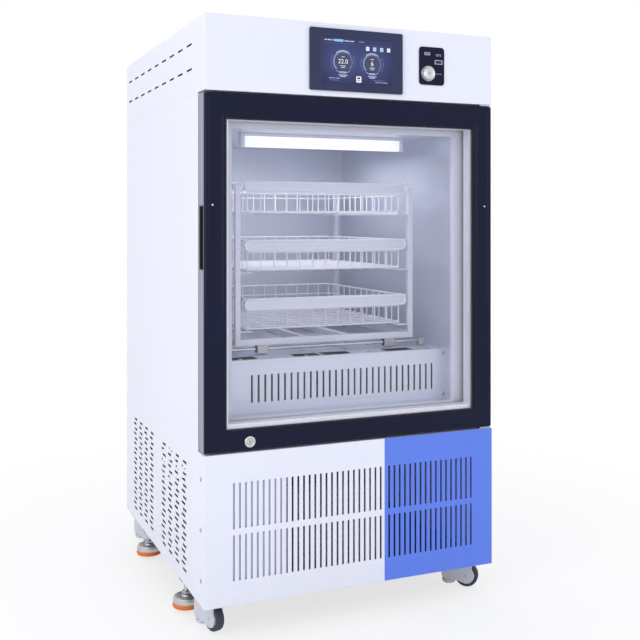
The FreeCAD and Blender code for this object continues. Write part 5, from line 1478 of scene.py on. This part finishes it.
def build_floor():
    """A pale floor that keeps the shadow and fades to white away from the object."""
    floor = bpy.data.materials.new("studio_floor")
    tree = Tree.emptied(floor)
    place = tree.add("ShaderNodeTexCoord")["Object"]
    away = tree.add("ShaderNodeVectorMath", {0: place}, operation="LENGTH")["Value"]
    tone = tree.blend(tree.noise(place, 40.0), (0.93, 0.94, 0.96), (0.97, 0.97, 0.98))
    matt = tree.add("ShaderNodeBsdfDiffuse", {"Color": tone})
    glow = tree.add("ShaderNodeEmission", {"Color": WHITE, "Strength": 1.0})
    tree.mixed("Material", seen_rays(tree) * (0.72 + away.ramped(0.35, 1.5) * 0.28),
               matt["BSDF"], glow["Emission"])
    reach, edge, bottom, top = 8.0, 1.2, -0.02, -0.0004
    mesh = skinned([[(x, y, z) for x, y in rounded_rectangle(-reach, reach, -reach, reach, edge)]
                    for z in (bottom, top)])
    mesh.materials.append(floor)
    ground = bpy.data.objects.new("floor", mesh)
    bpy.context.scene.collection.objects.link(ground)


def area_light(name, at, aim, size, power, colour=WHITE[:3]):
    data = bpy.data.lights.new(name, "AREA")
    data.shape, data.size, data.size_y = "RECTANGLE", *size
    data.energy, data.color = power, colour
    lamp = bpy.data.objects.new(name, data)
    lamp.location = at
    lamp.rotation_mode = "QUATERNION"
    lamp.rotation_quaternion = (Vector(aim) - Vector(at)).to_track_quat("-Z", "Y")
    bpy.context.scene.collection.objects.link(lamp)
    return lamp


def build_lights():
    """Large soft lights round the object, and the one that the chamber lamp gives."""
    own, body = sizes(), (0, 0, 0.6)
    area_light("key", (-3.0, -1.6, 2.1), body, (1.8, 1.8), own.key_power)
    area_light("front", (-0.4, -4.2, 0.95), body, (2.0, 1.4), own.front_power)
    area_light("fill", (2.6, -2.2, 1.5), body, (1.4, 1.8), own.fill_power, (0.95, 0.97, 1.0))
    area_light("back", (0.4, 2.8, 2.4), (0, 0, 0.8), (2.4, 1.2), own.fill_power * 1.2)
    y, z = -20 * MM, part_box("interior_lamp")[0].z - 4 * MM
    chamber = area_light("chamber_light", (0.0, y, z), (0.0, y, 0.4), (0.40, 0.30),
                         own.lamp_power, (0.98, 0.98, 1.0))
    chamber.visible_camera = chamber.visible_glossy = False


def build_camera():
    """The photograph's view."""
    data = bpy.data.cameras.new("camera")
    data.sensor_width = SENSOR_WIDTH
    data.lens = FOCAL_PIXELS / PICTURE_PIXELS * SENSOR_WIDTH
    data.shift_y = CAMERA_SHIFT
    camera = bpy.data.objects.new("camera", data)
    camera.location = CAMERA_PLACE
    camera.rotation_euler = (math.radians(90), 0.0, math.radians(-CAMERA_YAW))
    bpy.context.scene.collection.objects.link(camera)
    bpy.context.scene.camera = camera
    bpy.context.scene.view_settings.view_transform = "Standard"


# Operators

def operator(name, label, description, *steps):
    """An operator that runs its steps."""
    def execute(self, context):
        for step in steps:
            step()
        return {"FINISHED"}

    return type(f"AGITATOR_OT_{name}", (bpy.types.Operator,), {
        "__doc__": description, "bl_idname": f"agitator.{name}", "bl_label": label,
        "bl_options": {"REGISTER", "UNDO"}, "execute": execute})


OPERATORS = (
    operator("stage", "Stage", "Set up the floor, the lights and the camera",
             build_surround, build_floor, build_lights, build_camera),
    operator("cabinet", "Cabinet panels", "Dress the sheet panels, the base and their screws",
             build_sheet_panels, build_panel_screws),
    operator("grilles", "Front grilles", "Dress the white and the blue slotted panel",
             build_front_grilles),
    operator("top_cover", "Top cover", "Dress the cover of the control section",
             build_top_cover),
    operator("mains_inlet", "Mains inlet", "Make the socket for the mains lead",
             build_mains_inlet),
    operator("display", "Display", "Make the bezel, the screen and its marks",
             build_display),
    operator("switches", "Switch plate",
             "Make the switch plate, the button and the service socket",
             build_switch_plate),
    operator("door", "Door", "Make the door's front frame, profile, grip, spacer and gasket",
             build_door_front, build_door_body),
    operator("glass", "Panes", "Make the two panes",
             build_door_glass),
    operator("door_hardware", "Lock and hinges", "Make the cam lock and the hinges",
             build_door_hardware),
    operator("chamber", "Chamber", "Dress the chamber, its duct cover and its tray",
             build_chamber),
    operator("lamp", "Chamber lamp", "Make the chamber lamp",
             build_lamp),
    operator("carriage", "Carriage", "Dress the carriage, its runners and its bearings",
             build_carriage),
    operator("drive", "Guides and drive", "Make the guide shafts, the motor and the crank",
             build_guides, build_drive),
    operator("baskets", "Baskets", "Weld the three wire baskets",
             build_baskets),
    operator("cooling", "Cooling", "Make the coils, the fans and the compressor",
             build_coils, build_fans, build_compressor),
    operator("casters", "Casters", "Make the casters, their plates and bolts",
             build_casters),
    operator("feet", "Levelling feet", "Make the levelling feet",
             build_feet),
)


class AGITATOR_PT_panel(bpy.types.Panel):
    """Lists the pieces, and the sizes and colours that can be changed"""

    bl_idname = "AGITATOR_PT_panel"
    bl_label = "Platelet agitator"
    bl_space_type = "VIEW_3D"
    bl_region_type = "UI"
    bl_category = "Agitator"

    def draw(self, context):
        for group in (sizes(), colours()):
            column = self.layout.column(align=True)
            for name in group.__annotations__:
                column.prop(group, name)
        column = self.layout.column(align=True)
        for operator in OPERATORS:
            column.operator(operator.bl_idname)


CLASSES = (AgitatorSizes, AgitatorColours, *OPERATORS, AGITATOR_PT_panel)


def register():
    for made in CLASSES:
        bpy.utils.register_class(made)
    bpy.types.Scene.agitator_sizes = bpy.props.PointerProperty(type=AgitatorSizes)
    bpy.types.Scene.agitator_colours = bpy.props.PointerProperty(type=AgitatorColours)


def unregister():
    del bpy.types.Scene.agitator_colours
    del bpy.types.Scene.agitator_sizes
    for made in reversed(CLASSES):
        bpy.utils.unregister_class(made)


def main():
    register()
    for operator in OPERATORS:
        family, name = operator.bl_idname.split(".")
        getattr(getattr(bpy.ops, family), name)()


if __name__ == "__main__":
    main()
